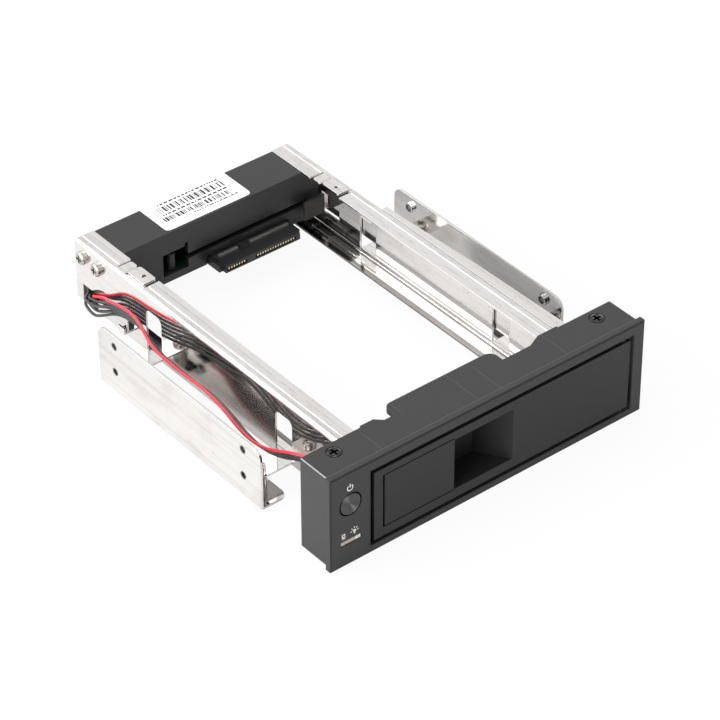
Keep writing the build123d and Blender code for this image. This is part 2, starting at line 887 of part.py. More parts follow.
def plain_rail():
    # the right-hand rail, without what differs from side to side
    rail = extrude(Plane.XZ * rail_profile(), -(rail_end - rail_start))
    rail = Pos(0, rail_start, 0) * rail
    inner_edge = rail_outer - rail_flange
    groove_x = inner_edge + groove_inset
    rail -= block(groove_x, groove_x + groove_width, rail_start - 1, rail_end + 1, rail_top - groove_depth,
                  rail_top + 1)
    runner_x = inner_edge + runner_inset
    rail += block(runner_x, runner_x + runner_width, rail_start, housing_front, rail_bottom + sheet,
                  rail_bottom + sheet + runner_height)
    for start in window_starts():
        hole = side_plate(rail_inner - 1, sheet + 2, start, start + window_width, window_sill,
                          window_sill + window_height, window_corner, top_only=True)
        rail -= hole
        rail += rail_foot(start)
    room, tabs, slot = rail_tabs()
    rail = rail - room + tabs - slot
    rail += rail_ear(rail_top - sheet)
    rail += rail_ear(rail_bottom)
    for y in housing_screw_places():
        rail -= rod_x(y, housing_screw_z, rail_inner - 1, rail_outer + 1, housing_screw_radius)
    return rail


def housing_screw_places():
    first = housing_front + housing_screw_first
    return (first, first + housing_screw_spacing)


def right_rail():
    rail = plain_rail()
    for y in rivet_places():
        rail -= rod_x(y, rivet_z, rail_inner - 1, rail_outer + 1, screw_radius)
    room = pusher_room
    rail -= block(rail_inner - 1, rail_outer + 1, pusher_y - eject_travel - room, pusher_y + sheet + room,
                  slider_bottom - room, slider_lower_top + room)
    return rail


def left_rail():
    rail = mirrored(plain_rail())
    rail -= block(-rail_outer - 1, -rail_inner + 1, cable_window_start, cable_window_end,
                  cable_window_bottom, cable_window_top)
    low = clip_y - clip_width / 2
    high = clip_y + clip_width / 2
    rail -= block(-rail_outer - 1, -rail_inner + 1, low - clip_room, high + clip_room,
                  clip_z + sheet, clip_z + sheet + clip_slot)
    rail += block(-rail_outer - clip_reach, -rail_inner, low, high, clip_z, clip_z + sheet)
    rail += block(-rail_outer - clip_reach, -rail_outer - clip_reach + sheet, low, high,
                  clip_z, clip_z + clip_lip)
    return rail


# Side brackets

def bay_hole_places():
    base = bracket_bottom + bay_hole_height
    return [(bay_hole_first + step * bay_hole_spacing, base + rise * bay_hole_rise)
            for step in (0, 1) for rise in (0, 1)]


def side_bracket():
    # the right-hand one
    top = bracket_bottom + bracket_height
    plate = side_plate(bay_side - bracket_sheet, bracket_sheet, bracket_front, bracket_rear,
                       bracket_bottom, top, bracket_corner, top_only=True)
    flange_inner = bay_side - bracket_flange
    points = [(bay_side, bracket_front), (flange_inner, bracket_front), (flange_inner, bracket_rear),
              (bay_side, bracket_rear)]
    corners = [(flange_inner, bracket_front), (flange_inner, bracket_rear)]
    flange = plan(points, bracket_bottom, bracket_bottom + bracket_sheet, corners, bracket_flange_corner)
    bracket = plate + flange
    lengthwise = bracket.edges().filter_by(Axis.Y)
    bend = lengthwise.sort_by_distance((bay_side, bracket_front, bracket_bottom))[0]
    bracket = fillet(bend, bend_radius)
    for y, z in bay_hole_places():
        inner = bay_side - bracket_sheet
        bracket += rod_x(y, z, inner - collar_length, inner, collar_radius)
    for y, z in bay_hole_places():
        bracket -= rod_x(y, z, bay_side - 4 * bracket_sheet, bay_side + 1, bay_hole_radius)
    for start in window_starts():
        middle = start + window_width / 2
        bracket -= rod_z(foot_screw_x, middle, bracket_bottom - 1, bracket_bottom + bracket_sheet + 1,
                         standoff_swage_radius)
    return bracket


def bracket_standoffs():
    # swaged into the bracket's flange, tapped for the foot screws
    pieces = []
    base = bracket_bottom + bracket_sheet
    for side in (-1, 1):
        for start in window_starts():
            middle = start + window_width / 2
            x = side * foot_screw_x
            post = rod_z(x, middle, base, window_sill, standoff_radius)
            post += rod_z(x, middle, bracket_bottom, base, standoff_swage_radius)
            pieces.append(post - rod_z(x, middle, bracket_bottom - 1, window_sill + 1, screw_radius))
    return Compound(children=pieces)


def bracket_screws():
    pieces = []
    top = window_sill + sheet
    for side in (-1, 1):
        for start in window_starts():
            middle = start + window_width / 2
            length = top - bracket_bottom - bracket_screw_short
            screw = pan_screw(length, screw_radius, pan_head_radius, pan_head_height)
            pieces.append(Pos(side * foot_screw_x, middle, top) * screw)
    return Compound(children=pieces)


# Rear backplane

def flange_edge():
    # where the block's raised top passes between the rails' top flanges
    return rail_outer - rail_flange - block_side_gap


def socket_notch():
    room = socket_notch_room
    return block(receptacle_left - room, receptacle_right + room, housing_front - 1,
                 housing_front + housing_wall + 1, housing_bottom - 1,
                 receptacle_bottom + receptacle_height + room)


def rounded_block(y0, y1):
    # its top edges clear the bends inside the rails
    piece = block(-housing_side, housing_side, y0, y1, housing_bottom, housing_top)
    return fillet(piece.edges().filter_by(Axis.Y).group_by(Axis.Z)[-1], bend_radius + housing_side_room)


def backplane_housing():
    side = housing_side
    box = rounded_block(housing_front, housing_rear)
    box += block(-flange_edge(), flange_edge(), housing_front, housing_rear, housing_top - 1, rail_top)
    box -= block(-side + housing_wall, side - housing_wall, housing_front + housing_wall, housing_rear + 1,
                 housing_bottom - 1, housing_top - housing_wall)
    box -= block(peephole_left, peephole_right, housing_front - 1, housing_front + housing_wall + 1,
                 peephole_bottom, peephole_top)
    box -= block(peephole_right - peephole_step, peephole_right, housing_front - 1,
                 housing_front + housing_wall + 1, peephole_top - 1, peephole_top + peephole_step)
    box -= block(peephole_right - 1, vent_right, housing_front - 1, housing_front + housing_wall + 1,
                 vent_bottom, vent_top)
    box -= socket_notch()
    box -= block(-side - 1, -side + housing_wall + 1, harness_first_y - 2 * harness_end_room,
                 harness_last_y + 2 * harness_end_room, housing_bottom - 1, harness_socket_top + harness_room)
    for y in housing_screw_places():
        for end in (-1, 1):
            inner = end * (side - housing_screw_length)
            outer = end * (side - housing_wall)
            low, high = min(inner, outer), max(inner, outer)
            box += rod_x(y, housing_screw_z, low, high, housing_screw_radius + boss_wall)
            box -= rod_x(y, housing_screw_z, min(inner, end * (side + 1)), max(inner, end * (side + 1)),
                         housing_screw_radius)
    return box


def housing_screws():
    pieces = []
    for end in (-1, 1):
        for y in housing_screw_places():
            screw = pan_screw(housing_screw_length - 1, housing_screw_radius, pan_head_radius,
                              pan_head_height)
            pieces.append(Pos(end * rail_outer, y, housing_screw_z) * Rot(0, end * 90, 0) * screw)
    return Compound(children=pieces)


def port_half(contacts):
    return contacts * contact_pitch / 2 + port_margin


def ports():
    return ((data_port_x, port_half(data_contacts)), (power_port_x, port_half(power_contacts)))


def rear_cover():
    plate = rounded_block(housing_rear, housing_rear + cover_thickness)
    plate += block(-flange_edge(), flange_edge(), housing_rear, housing_rear + cover_thickness,
                   housing_top - 1, rail_top)
    for x, half in ports():
        plate -= block(x - half, x + half, housing_rear - 1, housing_rear + cover_thickness + 1,
                       backboard_top, backboard_top + port_height)
    return plate


def bottom_cover():
    side = housing_side
    plate = block(-side, side, housing_front + floor_setback, housing_rear + cover_thickness,
                  housing_bottom - floor_thickness, housing_bottom)
    front = plate.edges().filter_by(Axis.X).group_by(Axis.Y)[0].sort_by(Axis.Z)[0]
    return chamfer(front, floor_thickness * 0.5)


def backplane_board():
    side = housing_side - housing_wall - backboard_room
    board = block(-side, side, housing_front + housing_wall + backboard_room, housing_rear,
                  backboard_bottom, backboard_top)
    room = harness_end_room + harness_room
    return board - block(-side - 1, harness_face + harness_socket_width + harness_room,
                         harness_first_y - room, harness_last_y + room, backboard_bottom - 1,
                         backboard_top + 1)


def board_supports():
    # short pillars between the bottom cover and the board
    pieces = []
    side = housing_side - housing_wall - backboard_room - pillar_side
    for x in (-side, side):
        for y in (housing_front + pillar_front, housing_rear - pillar_rear):
            pieces.append(rod_z(x, y, housing_bottom, backboard_bottom, pillar_radius))
    return Compound(children=pieces)


def capacitor():
    y = housing_front + housing_wall + capacitor_setback
    can = rod_z(capacitor_x, y, backboard_top, backboard_top + capacitor_height, capacitor_radius)
    can = fillet(can.edges().group_by(Axis.Z)[-1], capacitor_round)
    neck = backboard_top + capacitor_neck
    half = capacitor_neck_depth
    ring = rod_z(capacitor_x, y, neck - half, neck + half, capacitor_radius + 1)
    ring -= rod_z(capacitor_x, y, neck - 1, neck + 1, capacitor_radius - capacitor_neck_depth)
    return can - ring


def label():
    points = [(label_left, housing_front + label_margin), (label_right, housing_front + label_margin),
              (label_right, housing_rear + cover_thickness), (label_left, housing_rear + cover_thickness)]
    return plan(points, rail_top, rail_top + label_thickness, points[:2], label_corner)


# Drive connector

def contact_xs():
    data = [data_first + i * contact_pitch for i in range(data_contacts)]
    power = [power_first + i * contact_pitch for i in range(power_contacts)]
    return data, power


def drive_receptacle():
    top = receptacle_bottom + receptacle_height
    board_front = housing_front + housing_wall + backboard_room
    body = block(receptacle_left + guide_width, receptacle_right - guide_width, receptacle_front, board_front,
                 receptacle_bottom, top)
    body = chamfer(body.edges().filter_by(Axis.X).group_by(Axis.Y)[0], guide_lead_in)
    for left in (receptacle_left, receptacle_right - guide_width):
        body += block(left, left + guide_width, receptacle_front + guide_setback, board_front,
                      receptacle_bottom, top - guide_drop)
    key_front = receptacle_front + key_setback
    body += block(key_left, key_right, key_front, key_front + key_depth, top - 1, top + key_height)
    low = receptacle_bottom + socket_sill
    for xs in contact_xs():
        body -= block(xs[0] - socket_margin, xs[-1] + socket_margin, receptacle_front - 1,
                      receptacle_front + socket_depth, low, low + socket_height)
    return body


def receptacle_contacts():
    pieces = []
    high = receptacle_bottom + socket_sill + socket_height
    for xs in contact_xs():
        for x in xs:
            half = contact_width / 2
            pieces.append(block(x - half, x + half, receptacle_front + contact_setback,
                                receptacle_front + socket_depth, high - contact_thickness, high))
    return Compound(children=pieces)


def receptacle_clips():
    top = receptacle_bottom + receptacle_height
    y = receptacle_front + clip_strip_setback
    return Compound(children=[block(x0, x1, y, y + clip_strip_width, top, top + clip_strip_height)
                              for x0, x1 in clip_strip_spans])


def rear_port(x, half):
    end = housing_rear + cover_thickness + port_proud
    top = backboard_top + port_height
    shell = block(x - half, x + half, end - port_length, end, backboard_top, top)
    shell -= block(x - half + port_shell, x + half - port_shell, end - port_length + port_back, end + 1,
                   backboard_top + port_shell, top - port_shell)
    middle = backboard_top + port_height / 2
    inset = port_shell + port_tongue_inset
    return shell + block(x - half + inset, x + half - inset, end - port_length + port_shell,
                         end - port_tongue_inset, middle - port_tongue / 2, middle + port_tongue / 2)


def harness_socket():
    # it stands on the bottom cover, in a notch of the board
    return block(harness_face, harness_face + harness_socket_width, harness_first_y - harness_end_room,
                 harness_last_y + harness_end_room, housing_bottom, harness_socket_top)


# Eject slider

def rivet_places():
    return (rivet_first, rivet_first + rivet_spacing)


def eject_slider():
    # an angle outside the right rail, with a strip to the door and a pusher behind the drive
    x0 = slider_inner
    outline = [
        (slider_front, slider_bottom), (pusher_y + sheet, slider_bottom),
        (pusher_y + sheet, slider_lower_top), (slider_tip, slider_lower_top),
        (slider_taper_start, slider_top), (slider_front, slider_top),
    ]
    face = make_face(Polyline(*outline, close=True))
    slider = Pos(x0, 0, 0) * extrude(Plane.YZ * face, sheet)
    flange = [
        (x0, slider_front), (x0 + slider_front_width, slider_front),
        (x0 + slider_middle_width, slider_middle), (x0 + slider_rear_width, slider_taper_start),
        (x0, slider_taper_start),
    ]
    slider += plan(flange, slider_top - sheet, slider_top)
    strip_right = drive_pin_x + strip_width / 2
    strip_left = drive_pin_x - strip_width / 2
    strip_front = drive_pin_y - drive_pin_radius - strip_front_room
    neck = [
        (strip_left, strip_front), (strip_right, strip_front), (strip_right, slider_front - strip_corner),
        (x0 + slider_front_width, slider_front + strip_corner), (x0, slider_front + strip_corner),
        (x0, slider_front - strip_turn / 2), (strip_left, slider_front - strip_turn),
    ]
    slider += plan(neck, slider_top - sheet, slider_top)
    slider += rod_z(drive_pin_x, drive_pin_y, slider_top - sheet - drive_pin_drop, slider_top - sheet,
                    drive_pin_radius)
    slider += block(pusher_reach, x0 + sheet, pusher_y, pusher_y + sheet, slider_bottom, slider_lower_top)
    half = screw_radius + rivet_play
    for y in rivet_places():
        slot = block(x0 - 1, x0 + sheet + 1, y - half, y + eject_travel + half,
                     rivet_z - half, rivet_z + half)
        slider -= fillet(slot.edges().filter_by(Axis.X), screw_radius)
    return slider


def pusher_pad():
    # the plastic plate that meets the rear end of the drive
    low = slider_bottom - pad_drop
    return block(pusher_reach - pad_overhang, rail_inner - pad_side_room, pusher_y - pad_thickness,
                 pusher_y, low, low + pad_height)


def slider_rivets():
    pieces = []
    head = slider_inner + sheet + slide_gap
    for y in rivet_places():
        rivet = rod_x(y, rivet_z, rail_inner, head, screw_radius)
        pieces.append(rivet + rod_x(y, rivet_z, head, head + rivet_head_thickness, rivet_head_radius))
    return Compound(children=pieces)


# Wires from the backplane to the front board. Each route point is the middle of the flat
# bundle, followed by the way across it and how far it is spread there.
bundle_route = [
    ((-55.5, 158.5, 18.2), (0.3, 0.0, -0.95), 1.0),
    ((-55.3, 150.5, 20.4), (0.35, 0.0, -0.94), 1.0),
    ((-55.3, 141.0, 21.0), (0.35, 0.0, -0.94), 1.0),
    ((-57.6, 131.0, 19.8), (0.5, 0.0, -0.86), 1.0),
    ((-60.6, 120.5, 20.6), (0.63, 0.0, -0.77), 1.0),
    ((-61.8, 109.5, 21.9), (0.63, 0.0, -0.77), 1.0),
    ((-62.4, 98.0, 22.5), (0.63, 0.0, -0.77), 1.0),
    ((-62.9, 86.6, 24.0), (0.63, 0.0, -0.77), 1.0),
    ((-62.6, 76.0, 21.6), (0.63, 0.0, -0.77), 1.0),
    ((-62.5, 66.0, 17.4), (0.63, 0.0, -0.77), 1.0),
    ((-62.5, 56.5, 16.6), (0.63, 0.0, -0.77), 1.0),
    ((-62.6, 46.5, 19.6), (0.63, 0.0, -0.77), 1.0),
    ((-62.5, 36.5, 25.0), (0.63, 0.0, -0.77), 1.0),
    ((-62.0, 27.5, 27.6), (0.4, 0.0, -0.9), 1.0),
]
# Before that the wires hang apart: how far back, the middle of their height and their spread
loop_rows = ((169.5, 12.2, 1.1), (164.0, 14.9, 1.05))
bundle_entry = (0.0, 5.5, -2.5)
corner_share = 0.45


def bundle_centre():
    end_z = header_top - header_margin - (wire_count - 1) / 2 * wire_pitch
    centre = [Vector(*place) for place, lean, spread in bundle_route]
    return [centre[0] + Vector(*bundle_entry)] + centre + [Vector(header_x, header_face, end_z)]


def wire_points(index):
    shift = (index - (wire_count - 1) / 2) * wire_pitch
    row, column = divmod(index, harness_columns)
    start_y = harness_first_y + column * wire_pitch
    start_z = harness_socket_top - harness_end_room - row * wire_pitch
    turn_x = -rail_outer - wire_turn_room - column * wire_pitch
    end_z = header_top - header_margin - index * wire_pitch
    points = [(harness_face, start_y, start_z), (turn_x, start_y, start_z)]
    for y, middle, spread in loop_rows:
        points.append((turn_x, y, middle - shift * spread))
    centre = bundle_centre()
    for before, (place, lean, spread), after in zip(centre, bundle_route, centre[2:]):
        along = (after - before).normalized()
        across = Vector(*lean)
        across = (across - along * across.dot(along)).normalized()
        points.append(tuple(Vector(*place) + across * shift * spread))
    points.append((header_x, header_face + wire_straight_end, end_z))
    points.append((header_x, header_face, end_z))
    return points


def corner_radii(points):
    radii = []
    for before, corner, after in zip(points, points[1:], points[2:]):
        one = Vector(*corner) - Vector(*before)
        two = Vector(*after) - Vector(*corner)
        half_turn = radians(one.get_angle(two) / 2)
        radii.append(corner_share * min(one.length, two.length) / tan(half_turn))
    return radii


def wire(index):
    points = wire_points(index)
    radii = corner_radii(points)
    path = FilletPolyline(*points, radius=radii)
    start = Plane(origin=path @ 0, z_dir=path % 0)
    tube = sweep(start * Circle(wire_radius), path=path)
    section = pi * wire_radius ** 2 * path.length
    print("wire", index, "length", round(path.length, 1), "least radius", round(min(radii), 1),
          "volume share", round(tube.volume / section, 4))
    return tube


save("bezel_frame", bezel_frame())
save("bezel_screws", bezel_screws())
save("door_panel", door_panel())
save("door_hinge_pins", door_hinge_pins())
save("latch_lever", latch_lever())
save("latch_lever_pin", latch_lever_pin())
save("latch_spring", latch_spring())
save("power_button", power_button())
save("switch_plunger", switch_plunger())
save("power_switch", power_switch())
save("light_pipe", light_pipe())
save("indicator_lamps", indicator_lamps())
save("front_board", front_board())
save("board_screw", board_screw())
save("board_header", board_header())
save("left_rail", left_rail())
save("right_rail", right_rail())
save("right_bracket", side_bracket())
save("left_bracket", mirrored(side_bracket()))
save("bracket_standoffs", bracket_standoffs())
save("bracket_screws", bracket_screws())
save("backplane_housing", backplane_housing())
save("housing_screws", housing_screws())
save("rear_cover", rear_cover())
save("bottom_cover", bottom_cover())
save("backplane_board", backplane_board())
save("board_supports", board_supports())
save("capacitor", capacitor())
save("label", label())
save("drive_receptacle", drive_receptacle())
save("receptacle_contacts", receptacle_contacts())
save("receptacle_clips", receptacle_clips())
for port_name, (port_x, port_half_width) in zip(("rear_data_port", "rear_power_port"), ports()):
    save(port_name, rear_port(port_x, port_half_width))
save("harness_socket", harness_socket())
save("eject_slider", eject_slider())
save("pusher_pad", pusher_pad())
save("slider_rivets", slider_rivets())
for number in range(wire_count):
    save("wire_red" if number == 0 else "wire_black_" + str(number), wire(number))
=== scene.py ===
import math
import random

import bmesh
import bpy
from mathutils import Matrix, Vector


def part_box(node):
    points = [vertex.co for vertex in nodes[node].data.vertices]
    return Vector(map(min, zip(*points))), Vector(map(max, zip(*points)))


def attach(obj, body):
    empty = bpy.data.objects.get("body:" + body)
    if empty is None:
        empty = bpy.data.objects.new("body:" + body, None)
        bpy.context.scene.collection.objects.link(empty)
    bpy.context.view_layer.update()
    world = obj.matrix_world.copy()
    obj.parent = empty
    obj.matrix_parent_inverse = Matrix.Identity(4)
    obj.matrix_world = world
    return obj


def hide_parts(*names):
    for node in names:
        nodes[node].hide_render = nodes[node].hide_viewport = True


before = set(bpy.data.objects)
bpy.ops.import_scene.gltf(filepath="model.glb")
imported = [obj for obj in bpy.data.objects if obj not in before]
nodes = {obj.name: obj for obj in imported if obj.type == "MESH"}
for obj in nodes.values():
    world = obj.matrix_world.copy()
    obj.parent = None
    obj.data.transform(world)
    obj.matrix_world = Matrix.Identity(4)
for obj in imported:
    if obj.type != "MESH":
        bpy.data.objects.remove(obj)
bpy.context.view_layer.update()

mm = 0.001
print("frame loaded:", len(nodes), "nodes")


# Places on the object are given in millimetres: x to the right, y back from the
# bezel's front face and z up from the bezel's bottom edge.
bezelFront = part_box("door_panel")[0].y


def place(x, y, z):
    return Vector((x * mm, y * mm + bezelFront, z * mm))


# Camera
cameraView = {
    "azimuth": -38.34,
    "elevation": 37.39,
    "roll": -0.54,
    "distance": 1276.1,
    "aim": (-15.1, 75.0, 23.2),  # where the middle of the lens looks
    "focalPixels": 3419.1,
    "middlePixel": (329.4, 358.5),
    "framePixels": 720,
    "sensor": 36.0,
    "clip": (0.05, 20),
}


def makeCamera(view):
    azimuth, elevation = math.radians(view["azimuth"]), math.radians(view["elevation"])
    back = Vector((math.sin(azimuth) * math.cos(elevation),
                   -math.cos(azimuth) * math.cos(elevation), math.sin(elevation)))
    right = Vector((math.cos(azimuth), math.sin(azimuth), 0))
    up = back.cross(right)
    turn = Matrix((right, up, back)).transposed().to_4x4()
    turn = turn @ Matrix.Rotation(math.radians(view["roll"]), 4, "Z")
    data = bpy.data.cameras.new("camera")
    camera = bpy.data.objects.new("camera", data)
    bpy.context.scene.collection.objects.link(camera)
    size = view["framePixels"]
    data.sensor_width = view["sensor"]
    data.lens = view["focalPixels"] / size * view["sensor"]
    data.shift_x = (size / 2 - view["middlePixel"][0]) / size
    data.shift_y = (view["middlePixel"][1] - size / 2) / size
    data.clip_start, data.clip_end = view["clip"]
    spot = place(*view["aim"]) + back * view["distance"] * mm
    camera.matrix_world = Matrix.Translation(spot) @ turn
    bpy.context.scene.camera = camera


makeCamera(cameraView)
print("camera placed")


# Material helpers: Paint is one material, Level is one socket of it
class Level:
    def __init__(self, paint, socket):
        self.paint = paint
        self.socket = socket

    def do(self, operation, first, second=0.0, clamp=False):
        settings = {"operation": operation, "use_clamp": clamp}
        return self.paint.node("Math", settings, {0: first, 1: second})

    def __add__(self, other):
        return self.do("ADD", self, other)

    def __sub__(self, other):
        return self.do("SUBTRACT", self, other)

    def __mul__(self, other):
        return self.do("MULTIPLY", self, other)

    def __truediv__(self, other):
        return self.do("DIVIDE", self, other)

    def __pow__(self, other):
        return self.do("POWER", self, other)

    def __lt__(self, other):
        return self.do("LESS_THAN", self, other)

    def __gt__(self, other):
        return self.do("GREATER_THAN", self, other)

    __radd__ = __add__
    __rmul__ = __mul__

    def size(self):
        return self.do("ABSOLUTE", self)

    def held(self):
        # kept between 0 and 1
        return self.do("ADD", self, 0.0, clamp=True)


# sockets of the shader whose names aren't one plain word
socketNames = {
    "baseColor": "Base Color",
    "specular": "Specular IOR Level",
    "coatWeight": "Coat Weight",
    "coatRoughness": "Coat Roughness",
    "subsurface": "Subsurface Weight",
    "subsurfaceScale": "Subsurface Scale",
}
bevelSamples = 6


class Paint:
    def __init__(self, name):
        self.material = bpy.data.materials.new(name)
        self.material.use_nodes = True
        self.tree = self.material.node_tree
        self.shader = self.tree.nodes["Principled BSDF"]
        self.place = self.node("TexCoord", output="Object")

    def node(self, kind, settings=None, values=None, output=0):
        made = self.tree.nodes.new("ShaderNode" + kind)
        for name, value in (settings or {}).items():
            setattr(made, name, value)
        for name, value in (values or {}).items():
            self.join(value, made.inputs[name])
        return Level(self, made.outputs[output])

    def join(self, value, socket):
        if isinstance(value, Level):
            self.tree.links.new(value.socket, socket)
        elif hasattr(value, "__len__") and socket.type == "RGBA":
            socket.default_value = (*value, 1)
        else:
            socket.default_value = value

    def set(self, **values):
        for name, value in values.items():
            self.join(value, self.shader.inputs[socketNames.get(name, name.capitalize())])
        return self

    def noise(self, scale, detail=2.0, rough=0.5, turn=(0, 0, 0)):
        # three numbers as the scale stretch the noise along the axes
        vector = self.place
        if hasattr(scale, "__len__"):
            vector = self.node("Mapping", {}, {"Vector": vector, "Scale": scale, "Rotation": turn})
            scale = 1.0
        values = {"Vector": vector, "Scale": scale, "Detail": detail, "Roughness": rough}
        return self.node("TexNoise", {}, values)

    def ramp(self, level, *stops):
        made = self.node("ValToRGB", {}, {"Fac": level})
        elements = made.socket.node.color_ramp.elements
        while len(elements) < len(stops):
            elements.new(0.5)
        for element, (position, colour) in zip(elements, stops):
            shades = colour if hasattr(colour, "__len__") else (colour, colour, colour)
            element.position = position
            element.color = (*shades, 1)
        return made

    def rise(self, level, span):
        # 0 below the span and 1 above it
        return self.ramp(level, (span[0], 0.0), (span[1], 1.0))

    def mix(self, share, one, two):
        return self.node("Mix", {"data_type": "RGBA"}, {0: share, 6: one, 7: two}, output=2)

    def axes(self):
        split = self.node("SeparateXYZ", {}, {"Vector": self.place})
        outputs = split.socket.node.outputs
        return [Level(self, outputs[name]) for name in "XYZ"]

    def bump(self, height, distance, edge=0.0):
        # distance and edge are in millimetres; edge rounds the corners that light sees
        values = {"Height": height, "Distance": distance * mm, "Strength": 1.0}
        if edge:
            values["Normal"] = self.node("Bevel", {"samples": bevelSamples}, {"Radius": edge * mm})
        return self.set(normal=self.node("Bump", {}, values))

    def on(self, *names):
        for name in names:
            piece = nodes.get(name) or bpy.data.objects[name]
            piece.data.materials.clear()
            piece.data.materials.append(self.material)
        return self


def summed(levels):
    # sum() would add a node for its first 0
    total = levels[0]
    for level in levels[1:]:
        total = total + level
    return total


# Moulded black plastics; noises are given as scale, detail and roughness
plasticLooks = {
    "bezel": {"colour": 0.0235, "pale": 0.029, "rough": 0.34, "grain": 3400, "grainDepth": 0.018,
              "sheen": 0.40},
    "door": {"colour": 0.013, "pale": 0.017, "rough": 0.34, "grain": 3400, "grainDepth": 0.018,
             "sheen": 0.33},
    "housing": {"colour": 0.019, "pale": 0.025, "rough": 0.26, "grain": 2300, "grainDepth": 0.006,
                "sheen": 0.40},
}
plasticTexture = {
    "cloud": (38, 3),
    "grain": (1.5, 0.6),
    "dust": (900, 4, 0.7),
    "dustSpan": (0.66, 0.74),
    "dustShare": 0.25,
    "dustColour": (0.09, 0.09, 0.09),
    "lineShare": 0.5,
    "lineColour": (0.13, 0.13, 0.13),
    "blueCast": 1.03,
    "roughSpread": 0.16,
    "edge": 0.16,
}


def mouldedPlastic(name, look, lines=None, edges=None):
    paint = Paint(name)
    texture = plasticTexture
    cloud = paint.noise(*texture["cloud"])
    grain = paint.noise(look["grain"], *texture["grain"])
    dust = paint.rise(paint.noise(*texture["dust"]), texture["dustSpan"])
    dark, pale = [(shade, shade, shade * texture["blueCast"])
                  for shade in (look["colour"], look["pale"])]
    colour = paint.mix(cloud, dark, pale)
    colour = paint.mix(dust * texture["dustShare"], colour, texture["dustColour"])
    if lines is not None:
        colour = paint.mix(lines(paint) * texture["lineShare"], colour, texture["lineColour"])
    # edges paints highlights and shade onto the bezel's edges
    if edges is not None:
        colour = edges(paint, colour)
    rough = look["rough"] + cloud * texture["roughSpread"]
    paint.set(baseColor=colour, roughness=rough, specular=look["sheen"])
    return paint.bump(grain, look["grainDepth"], texture["edge"])


# faint seams of the mould on top of the bezel: (x, first y, last y) in millimetres
mouldSeams = {
    "across": ((-48.2, 3.2, 15.5), (-29.7, 15.6, 21.0), (-3.4, 3.2, 22.6), (7.3, 3.4, 20.0),
               (39.4, 3.2, 18.6)),
    "width": 0.09,
    "top": 41.0,
}


def seamLines(paint):
    x, y, z = paint.axes()
    seams = []
    for seamX, first, last in mouldSeams["across"]:
        middle = place(seamX, (first + last) / 2, 0)
        seam = (x - middle.x).size() < mouldSeams["width"] * mm
        seams.append(seam * ((y - middle.y).size() < (last - first) / 2 * mm))
    return (summed(seams) * (z > mouldSeams["top"] * mm)).held()


# painted highlights on the edges that catch the light and painted shade in the gaps that swallow
# it: x, y and z spans
#  in millimetres, with the sides mirrored, and painted shade rims round the holes in the face
bezelPaintedHighlightsAndShade = {
    # pale: a painted highlight along the top side edges of the body
    "pale": {"boxes": (((73.2, 74.0), (3.4, 21.2), (40.7, 42.0)),),
             "share": 0.9, "colour": (0.30, 0.30, 0.31)},
    # faint: a painted highlight line at the back of the flange's top
    "faint": {"boxes": (((-1.0, 74.6), (2.75, 3.05), (41.8, 43.0)),),
              "share": 0.6, "colour": (0.10, 0.10, 0.10)},
    # dark: painted shade along the front top edge and the front side edges
    "dark": {"boxes": (((-1.0, 74.4), (-0.1, 0.62), (41.35, 43.0)),
                       ((73.95, 75.0), (-0.1, 0.6), (0.4, 41.4))),
             "share": 0.75, "colour": (0.004, 0.004, 0.004)},
    # rims: painted shade round the door opening and the light pipe
    "rims": ({"middle": (6.3, 20.55), "half": (62.8, 17.15), "band": 0.4},
             {"middle": (-65.5, 10.9), "half": (4.6, 1.05), "band": 0.2}),
    "rimDepth": 0.1,
}


def edgeBoxes(paint, spans):
    x, y, z = paint.axes()
    boxes = []
    for xs, ys, zs in spans:
        low, high = place(xs[0], ys[0], zs[0]), place(xs[1], ys[1], zs[1])
        inside = (x.size() > low.x) * (x.size() < high.x) * (y > low.y) * (y < high.y)
        boxes.append(inside * (z > low.z) * (z < high.z))
    return summed(boxes)


# a band of painted shade round a hole in the face
def rimBand(paint, rim):
    x, y, z = paint.axes()
    middle = place(rim["middle"][0], bezelPaintedHighlightsAndShade["rimDepth"], rim["middle"][1])
    wide, tall = [(half + rim["band"]) * mm for half in rim["half"]]
    return ((x - middle.x).size() < wide) * ((z - middle.z).size() < tall) * (y < middle.y)


# painted highlights on the bezel's edges and painted shade in its edge lines and rims
def bezelEdgeTones(paint, colour):
    pale, faint, dark = bezelPaintedHighlightsAndShade["pale"], bezelPaintedHighlightsAndShade["faint"], bezelPaintedHighlightsAndShade["dark"]
    black = summed([edgeBoxes(paint, dark["boxes"])]
                   + [rimBand(paint, rim) for rim in bezelPaintedHighlightsAndShade["rims"]])
    colour = paint.mix(edgeBoxes(paint, faint["boxes"]) * faint["share"], colour, faint["colour"])
    colour = paint.mix(black.held() * dark["share"], colour, dark["colour"])
    return paint.mix(edgeBoxes(paint, pale["boxes"]) * pale["share"], colour, pale["colour"])


mouldedPlastic("bezelPlastic", plasticLooks["bezel"], seamLines, bezelEdgeTones).on("bezel_frame")
mouldedPlastic("doorPlastic", plasticLooks["door"]).on("door_panel", "latch_lever")
mouldedPlastic("housingPlastic", plasticLooks["housing"]).on(
    "backplane_housing", "rear_cover", "bottom_cover", "board_supports", "pusher_pad",
    "power_switch", "drive_receptacle", "rear_data_port", "rear_power_port", "capacitor")


